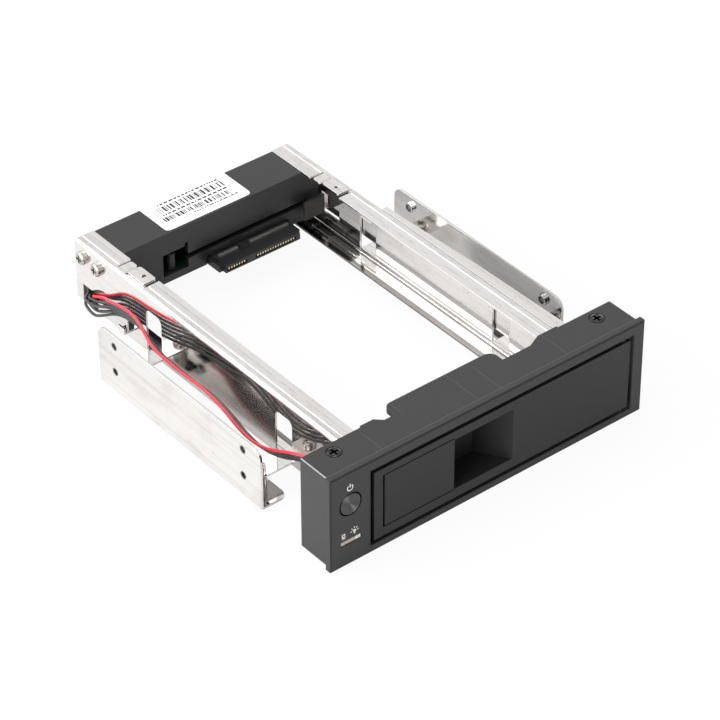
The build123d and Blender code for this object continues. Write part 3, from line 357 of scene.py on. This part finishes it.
# Bright stainless sheet
steelLooks = {
    "rails": {"clean": (0.77, 0.75, 0.735), "rubbed": (0.46, 0.41, 0.37), "rough": 0.045,
              "wave": 0.08},
    "brackets": {"clean": (0.75, 0.735, 0.72), "rubbed": (0.40, 0.35, 0.31), "rough": 0.05,
                 "wave": 0.10},
}
steelTexture = {
    "cloud": (46, 4, 0.62),
    "smear": ((120, 30, 120), 3, 0.62),
    "smearShare": 0.6,
    "stainSpan": (0.50, 0.66),
    "rolled": ((2600, 60, 2600), 2, 0.6),
    "rolledHeight": 0.004,
    "wave": (28, 1.0, 0.4),
    "streak": ((520, 7, 520), 2, 0.55),
    "streakSpan": (0.50, 0.66),
    "specks": (620, 4, 0.75),
    "speckSpan": (0.60, 0.68),
    "speckPatches": (0.42, 0.58),
    "rubbedShares": {"stain": 0.30, "streak": 0.16},
    "markShares": {"specks": 0.40, "scratches": 0.3},
    "markColour": (0.26, 0.23, 0.21),
    "shadeShare": 0.9,
    "shadeColour": (0.035, 0.03, 0.027),
    "roughShares": {"cloud": 0.03, "stain": 0.05, "streak": 0.06, "scratches": 0.12},
    "edge": 0.3,
}
steelScratches = {
    "turns": ((0.9, 0.2, 0.5), (0.3, 0.2, -0.7), (-0.5, 0.2, 1.2)),
    "lines": ((900, 34, 900), 0.0, 0.5),
    "thin": 0.005,
    "patchScale": 55,
    "patchScaleTurn": 20,
    "patchFrom": 0.56,
}
# painted shade inside the bay holes, and painted dark reflections on the right bracket's inner
# face and on the feet
paintedHoleShade = {"middle": (92.525, 16.87), "half": (39.625, 5.97), "radius": 1.75, "share": 0.8}
paintedDarkReflection = {"inside": 72.6, "middle": (72.0, 21.0), "reach": (36.0, 15.0), "noise": (45, 3),
             "ragged": 1.2, "fade": ((0.55, 1.0), (1.05, 0.0)), "share": 0.5}
footShade = {"inside": 72.0, "below": 3.0, "share": 0.3}
# painted shade in the lanced marks and along the foot of each web, a painted dark reflection on
# the lip along each rail's lower edge, and fine lines of the press
paintedTabShade = {"spot": (46.8, 147.9), "radius": 0.8, "above": 34.2}
paintedLipReflection = {"edge": 46.0, "below": 7.4, "worn": ((700, 16, 700), 2, 0.5), "share": 0.60,
            "wornShare": 0.5}
pressLines = {"across": (50.9, 50.1, 46.4), "width": 0.12, "above": 34.0,
              "broken": ((900, 150, 900), 3, 0.7), "brokenSpan": (0.46, 0.56), "share": 0.42}
paintedRootShade = {"across": 50.9, "width": 0.45, "share": 0.8}


def bracketShade(paint):
    x, y, z = paint.axes()
    # painted shade inside the bay holes
    middle = place(0, *paintedHoleShade["middle"])
    along = (y - middle.y).size() - paintedHoleShade["half"][0] * mm
    up = (z - middle.z).size() - paintedHoleShade["half"][1] * mm
    hole = ((along ** 2 + up ** 2) ** 0.5) < paintedHoleShade["radius"] * mm
    # painted dark reflection on the right bracket's inner face
    centre = place(0, *paintedDarkReflection["middle"])
    far = ((y - centre.y) * (1 / (paintedDarkReflection["reach"][0] * mm))) ** 2
    far = (far + ((z - centre.z) * (1 / (paintedDarkReflection["reach"][1] * mm))) ** 2) ** 0.5
    far = far + (paint.noise(*paintedDarkReflection["noise"]) - 0.5) * paintedDarkReflection["ragged"]
    patch = paint.ramp(far, *paintedDarkReflection["fade"]) * (x < paintedDarkReflection["inside"] * mm) * (x > 0.0)
    # painted dark reflection on the feet
    foot = (x.size() < footShade["inside"] * mm) * (z < footShade["below"] * mm)
    shares = hole * paintedHoleShade["share"] + patch * paintedDarkReflection["share"] + foot * footShade["share"]
    return shares.held()


def railShade(paint):
    x, y, z = paint.axes()
    # painted shade in the lanced marks
    spot = place(*paintedTabShade["spot"], 0)
    mark = (((x.size() - spot.x) ** 2 + (y - spot.y) ** 2) ** 0.5) < paintedTabShade["radius"] * mm
    mark = mark * (z > paintedTabShade["above"] * mm)
    # painted dark reflection on the lip along the lower edge, streaked by the worn noise
    low = z < paintedLipReflection["below"] * mm
    lip = (x.size() < paintedLipReflection["edge"] * mm) * low
    worn = paint.noise(*paintedLipReflection["worn"])
    broken = paint.rise(paint.noise(*pressLines["broken"]), pressLines["brokenSpan"])
    lines = summed([(x.size() - across * mm).size() < pressLines["width"] * mm
                    for across in pressLines["across"]])
    lines = lines * (z > pressLines["above"] * mm) * broken
    # painted shade along the foot of the web
    root = ((x.size() - paintedRootShade["across"] * mm).size() < paintedRootShade["width"] * mm) * low
    shares = mark + lip * (paintedLipReflection["share"] + worn * paintedLipReflection["wornShare"])
    return (shares + lines * pressLines["share"] + root * paintedRootShade["share"]).held()


def scratched(paint, look):
    marks = []
    for turn in look["turns"]:
        lines = paint.noise(*look["lines"], turn)
        patches = paint.noise(look["patchScale"] + look["patchScaleTurn"] * turn[2], 1)
        marks.append(((lines - 0.5).size() < look["thin"]) * (patches > look["patchFrom"]))
    return summed(marks).held()


def stainless(name, look, shade):
    paint = Paint(name)
    texture = steelTexture
    cloud = paint.noise(*texture["cloud"])
    smear = paint.noise(*texture["smear"])
    rolled = paint.noise(*texture["rolled"])
    wave = paint.noise(*texture["wave"])
    streak = paint.rise(paint.noise(*texture["streak"]), texture["streakSpan"])
    smeared = smear * texture["smearShare"] + cloud * (1 - texture["smearShare"])
    stain = paint.rise(smeared, texture["stainSpan"])
    specks = paint.rise(paint.noise(*texture["specks"]), texture["speckSpan"])
    specks = specks * paint.rise(cloud, texture["speckPatches"])
    scratches = scratched(paint, steelScratches)
    rubbed, marks = texture["rubbedShares"], texture["markShares"]
    colour = paint.mix(stain * rubbed["stain"] + streak * rubbed["streak"],
                       look["clean"], look["rubbed"])
    colour = paint.mix(specks * marks["specks"] + scratches * marks["scratches"],
                       colour, texture["markColour"])
    # painted shade and dark reflections from the shade function, which on the rails also gives the
    # press lines
    colour = paint.mix(shade(paint) * texture["shadeShare"], colour, texture["shadeColour"])
    parts = {"cloud": cloud, "stain": stain, "streak": streak, "scratches": scratches}
    rough = look["rough"] + summed([parts[part] * share
                                    for part, share in texture["roughShares"].items()])
    paint.set(baseColor=colour, metallic=1.0, roughness=rough)
    return paint.bump(wave + rolled * texture["rolledHeight"], look["wave"], texture["edge"])


stainless("railSteel", steelLooks["rails"], railShade).on(
    "left_rail", "right_rail", "eject_slider", "slider_rivets")
stainless("bracketSteel", steelLooks["brackets"], bracketShade).on(
    "left_bracket", "right_bracket")


# Plated screws, pins and posts
platedLooks = {
    "nickel": {"colour": (0.56, 0.54, 0.50), "rough": 0.11, "depth": 0.01,
               "pieces": ("housing_screws", "bracket_screws", "bracket_standoffs", "board_screw")},
    "brightTin": {"colour": (0.86, 0.84, 0.80), "rough": 0.3, "depth": 0.002,
                  "pieces": ("receptacle_clips",)},
    "plainSteel": {"colour": (0.6, 0.6, 0.6), "rough": 0.28, "depth": 0.01,
                   "pieces": ("door_hinge_pins", "latch_lever_pin", "latch_spring")},
    "gold": {"colour": (0.97, 0.82, 0.52), "rough": 0.3, "depth": 0.002,
             "pieces": ("receptacle_contacts",)},
}
platedTexture = {"spots": (1400, 3, 0.6), "dull": (260, 2), "tint": 0.72, "roughSpread": 0.14,
                 "edge": 0.12}


def platedMetal(name, look):
    paint = Paint(name)
    texture = platedTexture
    spots = paint.noise(*texture["spots"])
    dull = paint.noise(*texture["dull"])
    tint = [shade * texture["tint"] for shade in look["colour"]]
    rough = look["rough"] + spots * texture["roughSpread"]
    paint.set(baseColor=paint.mix(dull, tint, look["colour"]), metallic=1.0, roughness=rough)
    return paint.bump(spots, look["depth"], texture["edge"])


for platedName, platedLook in platedLooks.items():
    platedMetal(platedName, platedLook).on(*platedLook["pieces"])


# Black countersunk screws with a worn rim and a cross of painted shade over the recess
blackScrew = {
    "centre": (62.3, 13.2),
    "rim": (2.25, 2.68),
    "arm": 1.8,
    "slotHalf": 0.5,
    "wornHalf": 0.72,
    "wornShare": 0.8,
    "patches": (420, 2),
    "patchSpan": (0.44, 0.60),
    "black": (0.05, 0.05, 0.053),
    "worn": (0.24, 0.23, 0.22),
    # colour of the painted shade in the cross
    "slot": (0.012, 0.011, 0.011),
    "rough": 0.22,
    "roughSpread": 0.12,
    "depth": 0.01,
    "edge": 0.12,
}


def crossMark(right, back, arm, half):
    arm, half = arm * mm, half * mm
    return (right < arm) * (back < half) + (back < arm) * (right < half)


def wornBlackScrew(name, look):
    paint = Paint(name)
    x, y, z = paint.axes()
    middle = place(*look["centre"], 0)
    right, back = (x.size() - middle.x).size(), (y - middle.y).size()
    radius = (right ** 2 + back ** 2) ** 0.5
    patchy = paint.rise(paint.noise(*look["patches"]), look["patchSpan"])
    rim = (radius > look["rim"][0] * mm) * (radius < look["rim"][1] * mm)
    near = crossMark(right, back, look["arm"], look["wornHalf"])
    # the cross of painted shade
    paintedSlotShade = crossMark(right, back, look["arm"], look["slotHalf"])
    worn = (rim + near * look["wornShare"]).held() * patchy
    colour = paint.mix(worn, look["black"], look["worn"])
    colour = paint.mix(paintedSlotShade.held(), colour, look["slot"])
    rough = look["rough"] + patchy * look["roughSpread"]
    paint.set(baseColor=colour, metallic=1.0, roughness=rough)
    return paint.bump(patchy, look["depth"], look["edge"])


wornBlackScrew("blackOxide", blackScrew).on("bezel_screws")


# Button with a turned face and a painted glint
buttonLook = {
    "centre": (-65.5, 27.6),
    "ringStep": 0.11,
    "depth": 0.006,
    "colour": (0.018, 0.018, 0.018),
    "pale": (0.027, 0.027, 0.0279),
    "fine": (2600, 2),
    "paintedGlint": (-0.515, 0.857),
    "paintedGlintColour": (0.16, 0.16, 0.165),
    "glintSharpness": 14,
    "glintShare": 0.9,
    "rough": 0.24,
    "roughSpread": 0.08,
    "sheen": 0.6,
    "edge": 0.15,
}


def turnedButton(name, look):
    paint = Paint(name)
    x, y, z = paint.axes()
    middle = place(look["centre"][0], 0, look["centre"][1])
    right, up = x - middle.x, z - middle.z
    radius = (right ** 2 + up ** 2) ** 0.5
    # a painted highlight on the turned face, fixed in the button's own place
    toGlint = (right * look["paintedGlint"][0] + up * look["paintedGlint"][1]) / radius
    paintedGlint = (toGlint ** 2) ** look["glintSharpness"]
    phase = radius * (2 * math.pi / (look["ringStep"] * mm))
    rings = paint.node("Math", {"operation": "SINE"}, {0: phase})
    fine = paint.noise(*look["fine"])
    black = paint.mix(fine, look["colour"], look["pale"])
    colour = paint.mix(paintedGlint * look["glintShare"], black, look["paintedGlintColour"])
    rough = look["rough"] + fine * look["roughSpread"]
    paint.set(baseColor=colour, roughness=rough, specular=look["sheen"])
    return paint.bump(rings, look["depth"], look["edge"])


turnedButton("turnedButton", buttonLook).on("power_button", "switch_plunger")


# Light pipe and lamps: a milky bar with a rim of painted shade and a right end brightened by
# painted highlights
pipeLook = {
    "start": -70.1,
    "length": 9.2,
    "middle": (-65.5, 10.9),
    "rimHalf": (4.4, 0.72),
    "rimShare": 0.92,
    "rimShadeColour": (0.012, 0.010, 0.009),
    "grain": (1500, 2),
    "grainShare": 0.1,
    # the bright stops at 0.80 and 0.93 are painted highlights near the right end
    "creamWithPaintedGlints": ((0.0, (0.62, 0.53, 0.44)), (0.12, (0.50, 0.42, 0.34)), (0.70, (0.50, 0.43, 0.35)),
             (0.80, (1.0, 0.97, 0.90)), (0.86, (0.55, 0.47, 0.38)), (0.93, (1.0, 0.97, 0.90))),
    "rough": 0.22,
    "roughSpread": 0.1,
    "coat": 0.4,
    "subsurface": 0.25,
    "subsurfaceScale": 0.001,
    "depth": 0.01,
    "edge": 0.15,
}


def milkyPlastic(name, look):
    paint = Paint(name)
    x, y, z = paint.axes()
    along = ((x - look["start"] * mm) / (look["length"] * mm)).held()
    grain = paint.noise(*look["grain"])
    share = look["grainShare"]
    creamWithPaintedGlints = paint.ramp(along + grain * share - share / 2, *look["creamWithPaintedGlints"])
    middle = place(look["middle"][0], 0, look["middle"][1])
    wide, tall = [half * mm for half in look["rimHalf"]]
    # painted shade round the edges of the bar
    rim = ((x - middle.x).size() > wide) + ((z - middle.z).size() > tall)
    colour = paint.mix(rim.held() * look["rimShare"], creamWithPaintedGlints, look["rimShadeColour"])
    rough = look["rough"] + grain * look["roughSpread"]
    paint.set(baseColor=colour, roughness=rough, coatWeight=look["coat"],
              subsurface=look["subsurface"], subsurfaceScale=look["subsurfaceScale"])
    return paint.bump(grain, look["depth"], look["edge"])


milkyPlastic("milkyPlastic", pipeLook).on("light_pipe", "indicator_lamps")


# Boards, connectors and label stock
boardLook = {
    "weave": (1800, 2),
    "tracks": ((420, 420, 1400), 0.0, 0.5),
    "trackWidth": 0.02,
    "trackShare": 0.6,
    "mask": ((0.006, 0.026, 0.013), (0.009, 0.036, 0.018)),
    "trackColour": (0.018, 0.075, 0.038),
    "rough": 0.3,
    "roughSpread": 0.1,
    "weaveHeight": 0.2,
    "depth": 0.02,
    "edge": 0.1,
}
nylonLooks = {
    "creamNylon": {"colour": (0.74, 0.71, 0.64), "pieces": ("board_header", "harness_socket")},
    "labelStock": {"colour": (0.93, 0.93, 0.94), "pieces": ("label",)},
}
nylonTexture = {"grain": (1700, 2), "cloud": (220, 2), "tint": 0.88, "rough": 0.38,
                "roughSpread": 0.12, "depth": 0.01, "edge": 0.15}


def boardLaminate(name, look):
    paint = Paint(name)
    weave = paint.noise(*look["weave"])
    tracks = paint.noise(*look["tracks"])
    track = ((tracks - 0.5).size() < look["trackWidth"]).held()
    mask = paint.mix(weave, *look["mask"])
    paint.set(baseColor=paint.mix(track * look["trackShare"], mask, look["trackColour"]),
              roughness=look["rough"] + weave * look["roughSpread"])
    return paint.bump(track + weave * look["weaveHeight"], look["depth"], look["edge"])


def paleNylon(name, look):
    paint = Paint(name)
    texture = nylonTexture
    grain = paint.noise(*texture["grain"])
    tint = [shade * texture["tint"] for shade in look["colour"]]
    paint.set(baseColor=paint.mix(paint.noise(*texture["cloud"]), tint, look["colour"]),
              roughness=texture["rough"] + grain * texture["roughSpread"])
    return paint.bump(grain, texture["depth"], texture["edge"])


boardLaminate("boardGreen", boardLook).on("front_board", "backplane_board")
for nylonName, nylonLook in nylonLooks.items():
    paleNylon(nylonName, nylonLook).on(*nylonLook["pieces"])
print("materials on the packed pieces")


# Wires of the front board, from the rear socket along the left rail
wireLook = {
    "count": 6,
    "radius": 0.58,
    "pitch": 1.38,
    "columns": 3,
    "turnRoom": 1.2,
    "straightEnd": 4.5,
    "headerMargin": 1.1,
    "socketFace": (-49.7, 174.4, 13.33),
    "headerFace": (-61.6, 15.4, 31.7),
    "railFace": -52.8,
    "roundSteps": 5,
    "lengthSteps": 10,
}
# near the socket the wires hang apart: how far back, the middle of their height and their
# spread
loopRows = ((169.5, 12.2, 1.1), (164.0, 14.9, 1.05))
# from there the bundle is flat: its middle and the way across it, and the step into it
bundleEntry = (0.0, 5.5, -2.5)
bundleRoute = [
    ((-55.5, 158.5, 18.2), (0.3, 0.0, -0.95)),
    ((-55.3, 150.5, 20.4), (0.35, 0.0, -0.94)),
    ((-55.3, 141.0, 21.0), (0.35, 0.0, -0.94)),
    ((-57.6, 131.0, 19.8), (0.5, 0.0, -0.86)),
    ((-60.6, 120.5, 20.6), (0.63, 0.0, -0.77)),
    ((-61.8, 109.5, 21.9), (0.63, 0.0, -0.77)),
    ((-62.4, 98.0, 22.5), (0.63, 0.0, -0.77)),
    ((-62.9, 86.6, 24.0), (0.63, 0.0, -0.77)),
    ((-62.6, 76.0, 21.6), (0.63, 0.0, -0.77)),
    ((-62.5, 66.0, 17.4), (0.63, 0.0, -0.77)),
    ((-62.5, 56.5, 16.6), (0.63, 0.0, -0.77)),
    ((-62.6, 46.5, 19.6), (0.63, 0.0, -0.77)),
    ((-62.5, 36.5, 25.0), (0.63, 0.0, -0.77)),
    ((-62.0, 27.5, 27.6), (0.4, 0.0, -0.9)),
]
insulationLooks = {
    "wire_red": {"name": "redInsulation", "colour": (0.62, 0.012, 0.03)},
    "wire_black": {"name": "blackInsulation", "colour": (0.012, 0.012, 0.013)},
}
insulationTexture = {"smudge": (330, 3), "paler": 1.5, "paleAdded": 0.01, "rough": 0.32,
                     "roughSpread": 0.16, "coat": 0.25, "coatRough": 0.2, "depth": 0.02}


def wirePoints(index, look):
    middle = (look["count"] - 1) / 2
    pitch = look["pitch"]
    shift = (index - middle) * pitch
    socketX, socketY, socketZ = look["socketFace"]
    headerX, headerY, headerTop = look["headerFace"]
    row, column = divmod(index, look["columns"])
    startY = socketY + column * pitch
    startZ = socketZ - row * pitch
    turnX = look["railFace"] - look["turnRoom"] - column * pitch
    firstEnd = headerTop - look["headerMargin"]
    centre = [Vector(spot) for spot, lean in bundleRoute]
    last = Vector((headerX, headerY, firstEnd - middle * pitch))
    centre = [centre[0] + Vector(bundleEntry)] + centre + [last]
    points = [(socketX, startY, startZ), (turnX, startY, startZ)]
    for y, middleZ, spread in loopRows:
        points.append((turnX, y, middleZ - shift * spread))
    for before, (spot, lean), after in zip(centre, bundleRoute, centre[2:]):
        along = (after - before).normalized()
        across = Vector(lean) - along * along.dot(Vector(lean))
        points.append(tuple(Vector(spot) + across.normalized() * shift))
    endZ = firstEnd - index * pitch
    points.append((headerX, headerY + look["straightEnd"], endZ))
    points.append((headerX, headerY, endZ))
    return points


def wireInsulation(look):
    paint = Paint(look["name"])
    texture = insulationTexture
    smudge = paint.noise(*texture["smudge"])
    pale = [min(1, shade * texture["paler"] + texture["paleAdded"]) for shade in look["colour"]]
    rough = texture["rough"] + smudge * texture["roughSpread"]
    paint.set(baseColor=paint.mix(smudge, look["colour"], pale), roughness=rough,
              coatWeight=texture["coat"], coatRoughness=texture["coatRough"])
    return paint.bump(smudge, texture["depth"])


def makeWire(index, look, name, paint):
    curve = bpy.data.curves.new(name + "_curve", "CURVE")
    curve.dimensions = "3D"
    curve.bevel_depth = look["radius"] * mm
    curve.bevel_resolution = look["roundSteps"]
    curve.resolution_u = look["lengthSteps"]
    curve.use_fill_caps = True
    spline = curve.splines.new("NURBS")
    points = wirePoints(index, look)
    spline.points.add(len(points) - 1)
    for point, spot in zip(spline.points, points):
        point.co = (*place(*spot), 1)
    spline.order_u = 3
    spline.use_endpoint_u = True
    wire = bpy.data.objects.new(name + "_insulated", curve)
    bpy.context.scene.collection.objects.link(wire)
    curve.materials.append(paint.material)
    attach(wire, "cage")
    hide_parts(name)


insulation = {slot: wireInsulation(look) for slot, look in insulationLooks.items()}
for wireIndex in range(wireLook["count"]):
    wireSlot = "wire_red" if wireIndex == 0 else "wire_black"
    wireName = wireSlot if wireIndex == 0 else wireSlot + "_" + str(wireIndex)
    makeWire(wireIndex, wireLook, wireName, insulation[wireSlot])
print("wires laid")


# Printed marks: thin inked shapes on the bezel and on the label
ink = {"thickness": 0.03, "sunk": 0.01, "stroke": 0.44, "arcSteps": 28, "weld": 1e-6}
inkLooks = {
    "whiteInk": {"colour": (0.93, 0.93, 0.93), "rough": 0.5},
    "blackInk": {"colour": (0.03, 0.03, 0.035), "rough": 0.5},
}
inkTexture = {"speck": (2400, 2), "worn": 0.86, "roughSpread": 0.1}


def flatInk(name):
    paint = Paint(name)
    look, texture = inkLooks[name], inkTexture
    speck = paint.noise(*texture["speck"])
    worn = [shade * texture["worn"] for shade in look["colour"]]
    return paint.set(baseColor=paint.mix(speck, worn, look["colour"]),
                     roughness=look["rough"] + speck * texture["roughSpread"])


def finishPiece(shape, name, paint):
    # the shape is drawn in millimetres, with y at 0 on the bezel's face
    bmesh.ops.scale(shape, vec=(mm, mm, mm), verts=shape.verts)
    bmesh.ops.translate(shape, vec=place(0, 0, 0), verts=shape.verts)
    bmesh.ops.remove_doubles(shape, verts=shape.verts, dist=ink["weld"])
    bmesh.ops.recalc_face_normals(shape, faces=shape.faces)
    mesh = bpy.data.meshes.new(name)
    shape.to_mesh(mesh)
    shape.free()
    piece = bpy.data.objects.new(name, mesh)
    bpy.context.scene.collection.objects.link(piece)
    mesh.materials.append(paint.material)
    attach(piece, "cage")


def inkBox(shape, low, high):
    made = bmesh.ops.create_cube(shape, size=1)["verts"]
    low, high = Vector(low), Vector(high)
    bmesh.ops.scale(shape, vec=high - low, verts=made)
    bmesh.ops.translate(shape, vec=(low + high) / 2, verts=made)
    return made


def inkStroke(shape, x0, z0, x1, z1, stroke):
    # a straight stroke on the bezel's face
    length = math.hypot(x1 - x0, z1 - z0)
    made = inkBox(shape, (-stroke / 2, -ink["thickness"], 0), (stroke / 2, ink["sunk"], length))
    lean = math.atan2(x1 - x0, z1 - z0)
    bmesh.ops.rotate(shape, cent=(0, 0, 0), matrix=Matrix.Rotation(lean, 3, "Y"), verts=made)
    bmesh.ops.translate(shape, vec=(x0, 0, z0), verts=made)


def inkArc(shape, x, z, radius, stroke, start, sweep, steps):
    # a ring or part of one; start is measured clockwise from the top
    inner, outer = radius - stroke / 2, radius + stroke / 2
    back, front = ink["sunk"], -ink["thickness"]
    corners = [(inner, back), (outer, back), (outer, front), (inner, front)]
    before = set(shape.verts)
    made = [shape.verts.new((0, y, reach)) for reach, y in corners]
    face = shape.faces.new(made)
    bmesh.ops.rotate(shape, cent=(0, 0, 0), matrix=Matrix.Rotation(start, 3, "Y"), verts=made)
    full = sweep == 2 * math.pi
    bmesh.ops.spin(shape, geom=[face, *face.edges, *face.verts], cent=(0, 0, 0), axis=(0, 1, 0),
                   angle=sweep, steps=steps, use_merge=full)
    moved = [vert for vert in shape.verts if vert not in before]
    bmesh.ops.translate(shape, vec=(x, 0, z), verts=moved)
    if full and face.is_valid:
        bmesh.ops.delete(shape, geom=[face], context="FACES_ONLY")


symbols = {
    "power": {"spot": (-65.7, 35.1), "radius": 1.2, "start": 38, "sweep": 284,
              "stem": (0.2, 1.75)},
    "drive": {"spot": (-68.8, 14.2), "half": 0.56, "tall": 0.95, "stroke": 0.46,
              "barUp": 0.55, "barStroke": 0.7},
    "lamp": {"spot": (-63.8, 14.6), "bulbDown": 0.1, "bulbRadius": 0.36, "bulbStroke": 0.72,
             "bulbSteps": 18, "neck": (1.35, 0.6), "neckStroke": 0.6, "rays": (-2, -1, 0, 1, 2),
             "rayTurn": 46, "rayReach": (1.1, 1.95), "rayStroke": 0.3},
}


def powerSymbol(shape, x, z, look):
    inkArc(shape, x, z, look["radius"], ink["stroke"], math.radians(look["start"]),
           math.radians(look["sweep"]), ink["arcSteps"])
    low, high = look["stem"]
    inkStroke(shape, x, z + low, x, z + high, ink["stroke"])


def driveSymbol(shape, x, z, look):
    half, tall, stroke = look["half"], look["tall"], look["stroke"]
    inkStroke(shape, x - half, z - tall, x - half, z + tall, stroke)
    inkStroke(shape, x + half, z - tall, x + half, z + tall, stroke)
    end = half + stroke / 2
    for edge in (-tall, tall):
        inkStroke(shape, x - end, z + edge, x + end, z + edge, stroke)
    barZ = z - tall + look["barUp"]
    inkStroke(shape, x - half, barZ, x + half, barZ, look["barStroke"])


def lampSymbol(shape, x, z, look):
    inkArc(shape, x, z - look["bulbDown"], look["bulbRadius"], look["bulbStroke"], 0, 2 * math.pi,
           look["bulbSteps"])
    low, high = look["neck"]
    inkStroke(shape, x, z - low, x, z - high, look["neckStroke"])
    inner, outer = look["rayReach"]
    for step in look["rays"]:
        angle = math.radians(step * look["rayTurn"])
        inkStroke(shape, x + math.sin(angle) * inner, z + math.cos(angle) * inner,
                  x + math.sin(angle) * outer, z + math.cos(angle) * outer, look["rayStroke"])


whiteInk = flatInk("whiteInk")
for symbolName, draw in (("power", powerSymbol), ("drive", driveSymbol), ("lamp", lampSymbol)):
    symbol = bmesh.new()
    draw(symbol, *symbols[symbolName]["spot"], symbols[symbolName])
    finishPiece(symbol, symbolName + "_symbol", whiteInk)


# Label print: rows of plain bars and dashes
labelPrint = {
    "top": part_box("label")[1].z / mm,
    "thickness": 0.02,
    "bars": ((171.8, 174.6, -18.6, 13.4), (177.6, 181.3, -16.8, 15.0)),
    "narrowBar": 0.34,
    "barChoice": (1, 1, 2, 3),
    "dashes": ((170.1, 170.8, -6.0, 14.0), (175.6, 176.5, -17.0, 13.0),
               (182.4, 183.3, -15.0, 14.0)),
    "dash": 0.62,
    "dashChoice": (1, 2, 3),
    "seed": 7,
}


def labelBars(look):
    shape = bmesh.new()
    pick = random.Random(look["seed"])
    low, high = look["top"] - ink["sunk"], look["top"] + look["thickness"]
    for front, back, left, right in look["bars"]:
        x = left
        while x < right:
            width = look["narrowBar"] * pick.choice(look["barChoice"])
            inkBox(shape, (x, front, low), (x + width, back, high))
            x += width + look["narrowBar"] * pick.choice(look["barChoice"])
    for front, back, left, right in look["dashes"]:
        x = left
        while x < right:
            width = look["dash"] * pick.choice(look["dashChoice"])
            inkBox(shape, (x, front, low), (x + width, back, high))
            x += width + look["dash"]
    return shape


finishPiece(labelBars(labelPrint), "label_bars", flatInk("blackInk"))
print("printed marks made")


# Floor, lights and background
studio = {
    "floorSize": 6.0,
    "floorColour": (0.80, 0.80, 0.80),
    "whiteShare": 0.93,
    "whiteShareInMetal": 0.42,
    "skyLevel": 0.32,
}
# seen in level sheet metal, the lamp above would burn it white
lamps = {
    "leftLamp": {"from": (-1.55, -0.05, 0.72), "size": 2.1, "power": 50.0, "inMetal": True},
    "rearLamp": {"from": (-0.80, 1.02, 1.00), "size": 1.6, "power": 13.0, "inMetal": True},
    "topLamp": {"from": (0.15, 0.30, 1.3), "size": 1.4, "power": 11.0, "inMetal": False},
}


def whiteLevel(tree, toCamera, inMetal):
    # how white the background is for the camera, and for shiny and clear surfaces
    path = tree.nodes.new("ShaderNodeLightPath")
    shares = {"Is Camera Ray": toCamera, "Is Glossy Ray": inMetal, "Is Transmission Ray": inMetal}
    level = None
    for name, share in shares.items():
        scaled = tree.nodes.new("ShaderNodeMath")
        scaled.operation = "MULTIPLY"
        scaled.inputs[1].default_value = share
        tree.links.new(path.outputs[name], scaled.inputs[0])
        if level is None:
            level = scaled.outputs[0]
            continue
        larger = tree.nodes.new("ShaderNodeMath")
        larger.operation = "MAXIMUM"
        tree.links.new(level, larger.inputs[0])
        tree.links.new(scaled.outputs[0], larger.inputs[1])
        level = larger.outputs[0]
    return level


def makeFloor(look):
    shape = bmesh.new()
    bmesh.ops.create_grid(shape, x_segments=1, y_segments=1, size=look["floorSize"] / 2)
    mesh = bpy.data.meshes.new("floor")
    shape.to_mesh(mesh)
    shape.free()
    floor = bpy.data.objects.new("floor", mesh)
    floor.location = (0, 0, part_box("bezel_frame")[0].z)
    bpy.context.scene.collection.objects.link(floor)
    material = bpy.data.materials.new("paleFloor")
    material.use_nodes = True
    tree = material.node_tree
    tree.nodes.remove(tree.nodes["Principled BSDF"])
    diffuse = tree.nodes.new("ShaderNodeBsdfDiffuse")
    diffuse.inputs["Color"].default_value = (*look["floorColour"], 1)
    white = tree.nodes.new("ShaderNodeEmission")
    mixed = tree.nodes.new("ShaderNodeMixShader")
    level = whiteLevel(tree, look["whiteShare"], look["whiteShareInMetal"])
    tree.links.new(level, mixed.inputs[0])
    tree.links.new(diffuse.outputs[0], mixed.inputs[1])
    tree.links.new(white.outputs[0], mixed.inputs[2])
    tree.links.new(mixed.outputs[0], tree.nodes["Material Output"].inputs["Surface"])
    mesh.materials.append(material)


def makeWorld(look):
    world = bpy.data.worlds.new("studio")
    world.use_nodes = True
    bpy.context.scene.world = world
    tree = world.node_tree
    strength = tree.nodes.new("ShaderNodeMapRange")
    strength.inputs["To Min"].default_value = look["skyLevel"]
    strength.inputs["To Max"].default_value = 1.0
    tree.links.new(whiteLevel(tree, 1.0, 1.0), strength.inputs["Value"])
    tree.nodes["Background"].inputs["Color"].default_value = (1, 1, 1, 1)
    tree.links.new(strength.outputs[0], tree.nodes["Background"].inputs["Strength"])


def makeLamp(name, look):
    data = bpy.data.lights.new(name, "AREA")
    data.shape = "SQUARE"
    data.size = look["size"]
    data.energy = look["power"]
    lamp = bpy.data.objects.new(name, data)
    lamp.location = look["from"]
    lamp.rotation_mode = "QUATERNION"
    lamp.rotation_quaternion = (-Vector(look["from"])).to_track_quat("-Z", "Y")
    lamp.visible_glossy = look["inMetal"]
    bpy.context.scene.collection.objects.link(lamp)


makeFloor(studio)
makeWorld(studio)
for lampName, lampLook in lamps.items():
    makeLamp(lampName, lampLook)
bpy.context.scene.view_settings.view_transform = "Standard"
print("studio made")
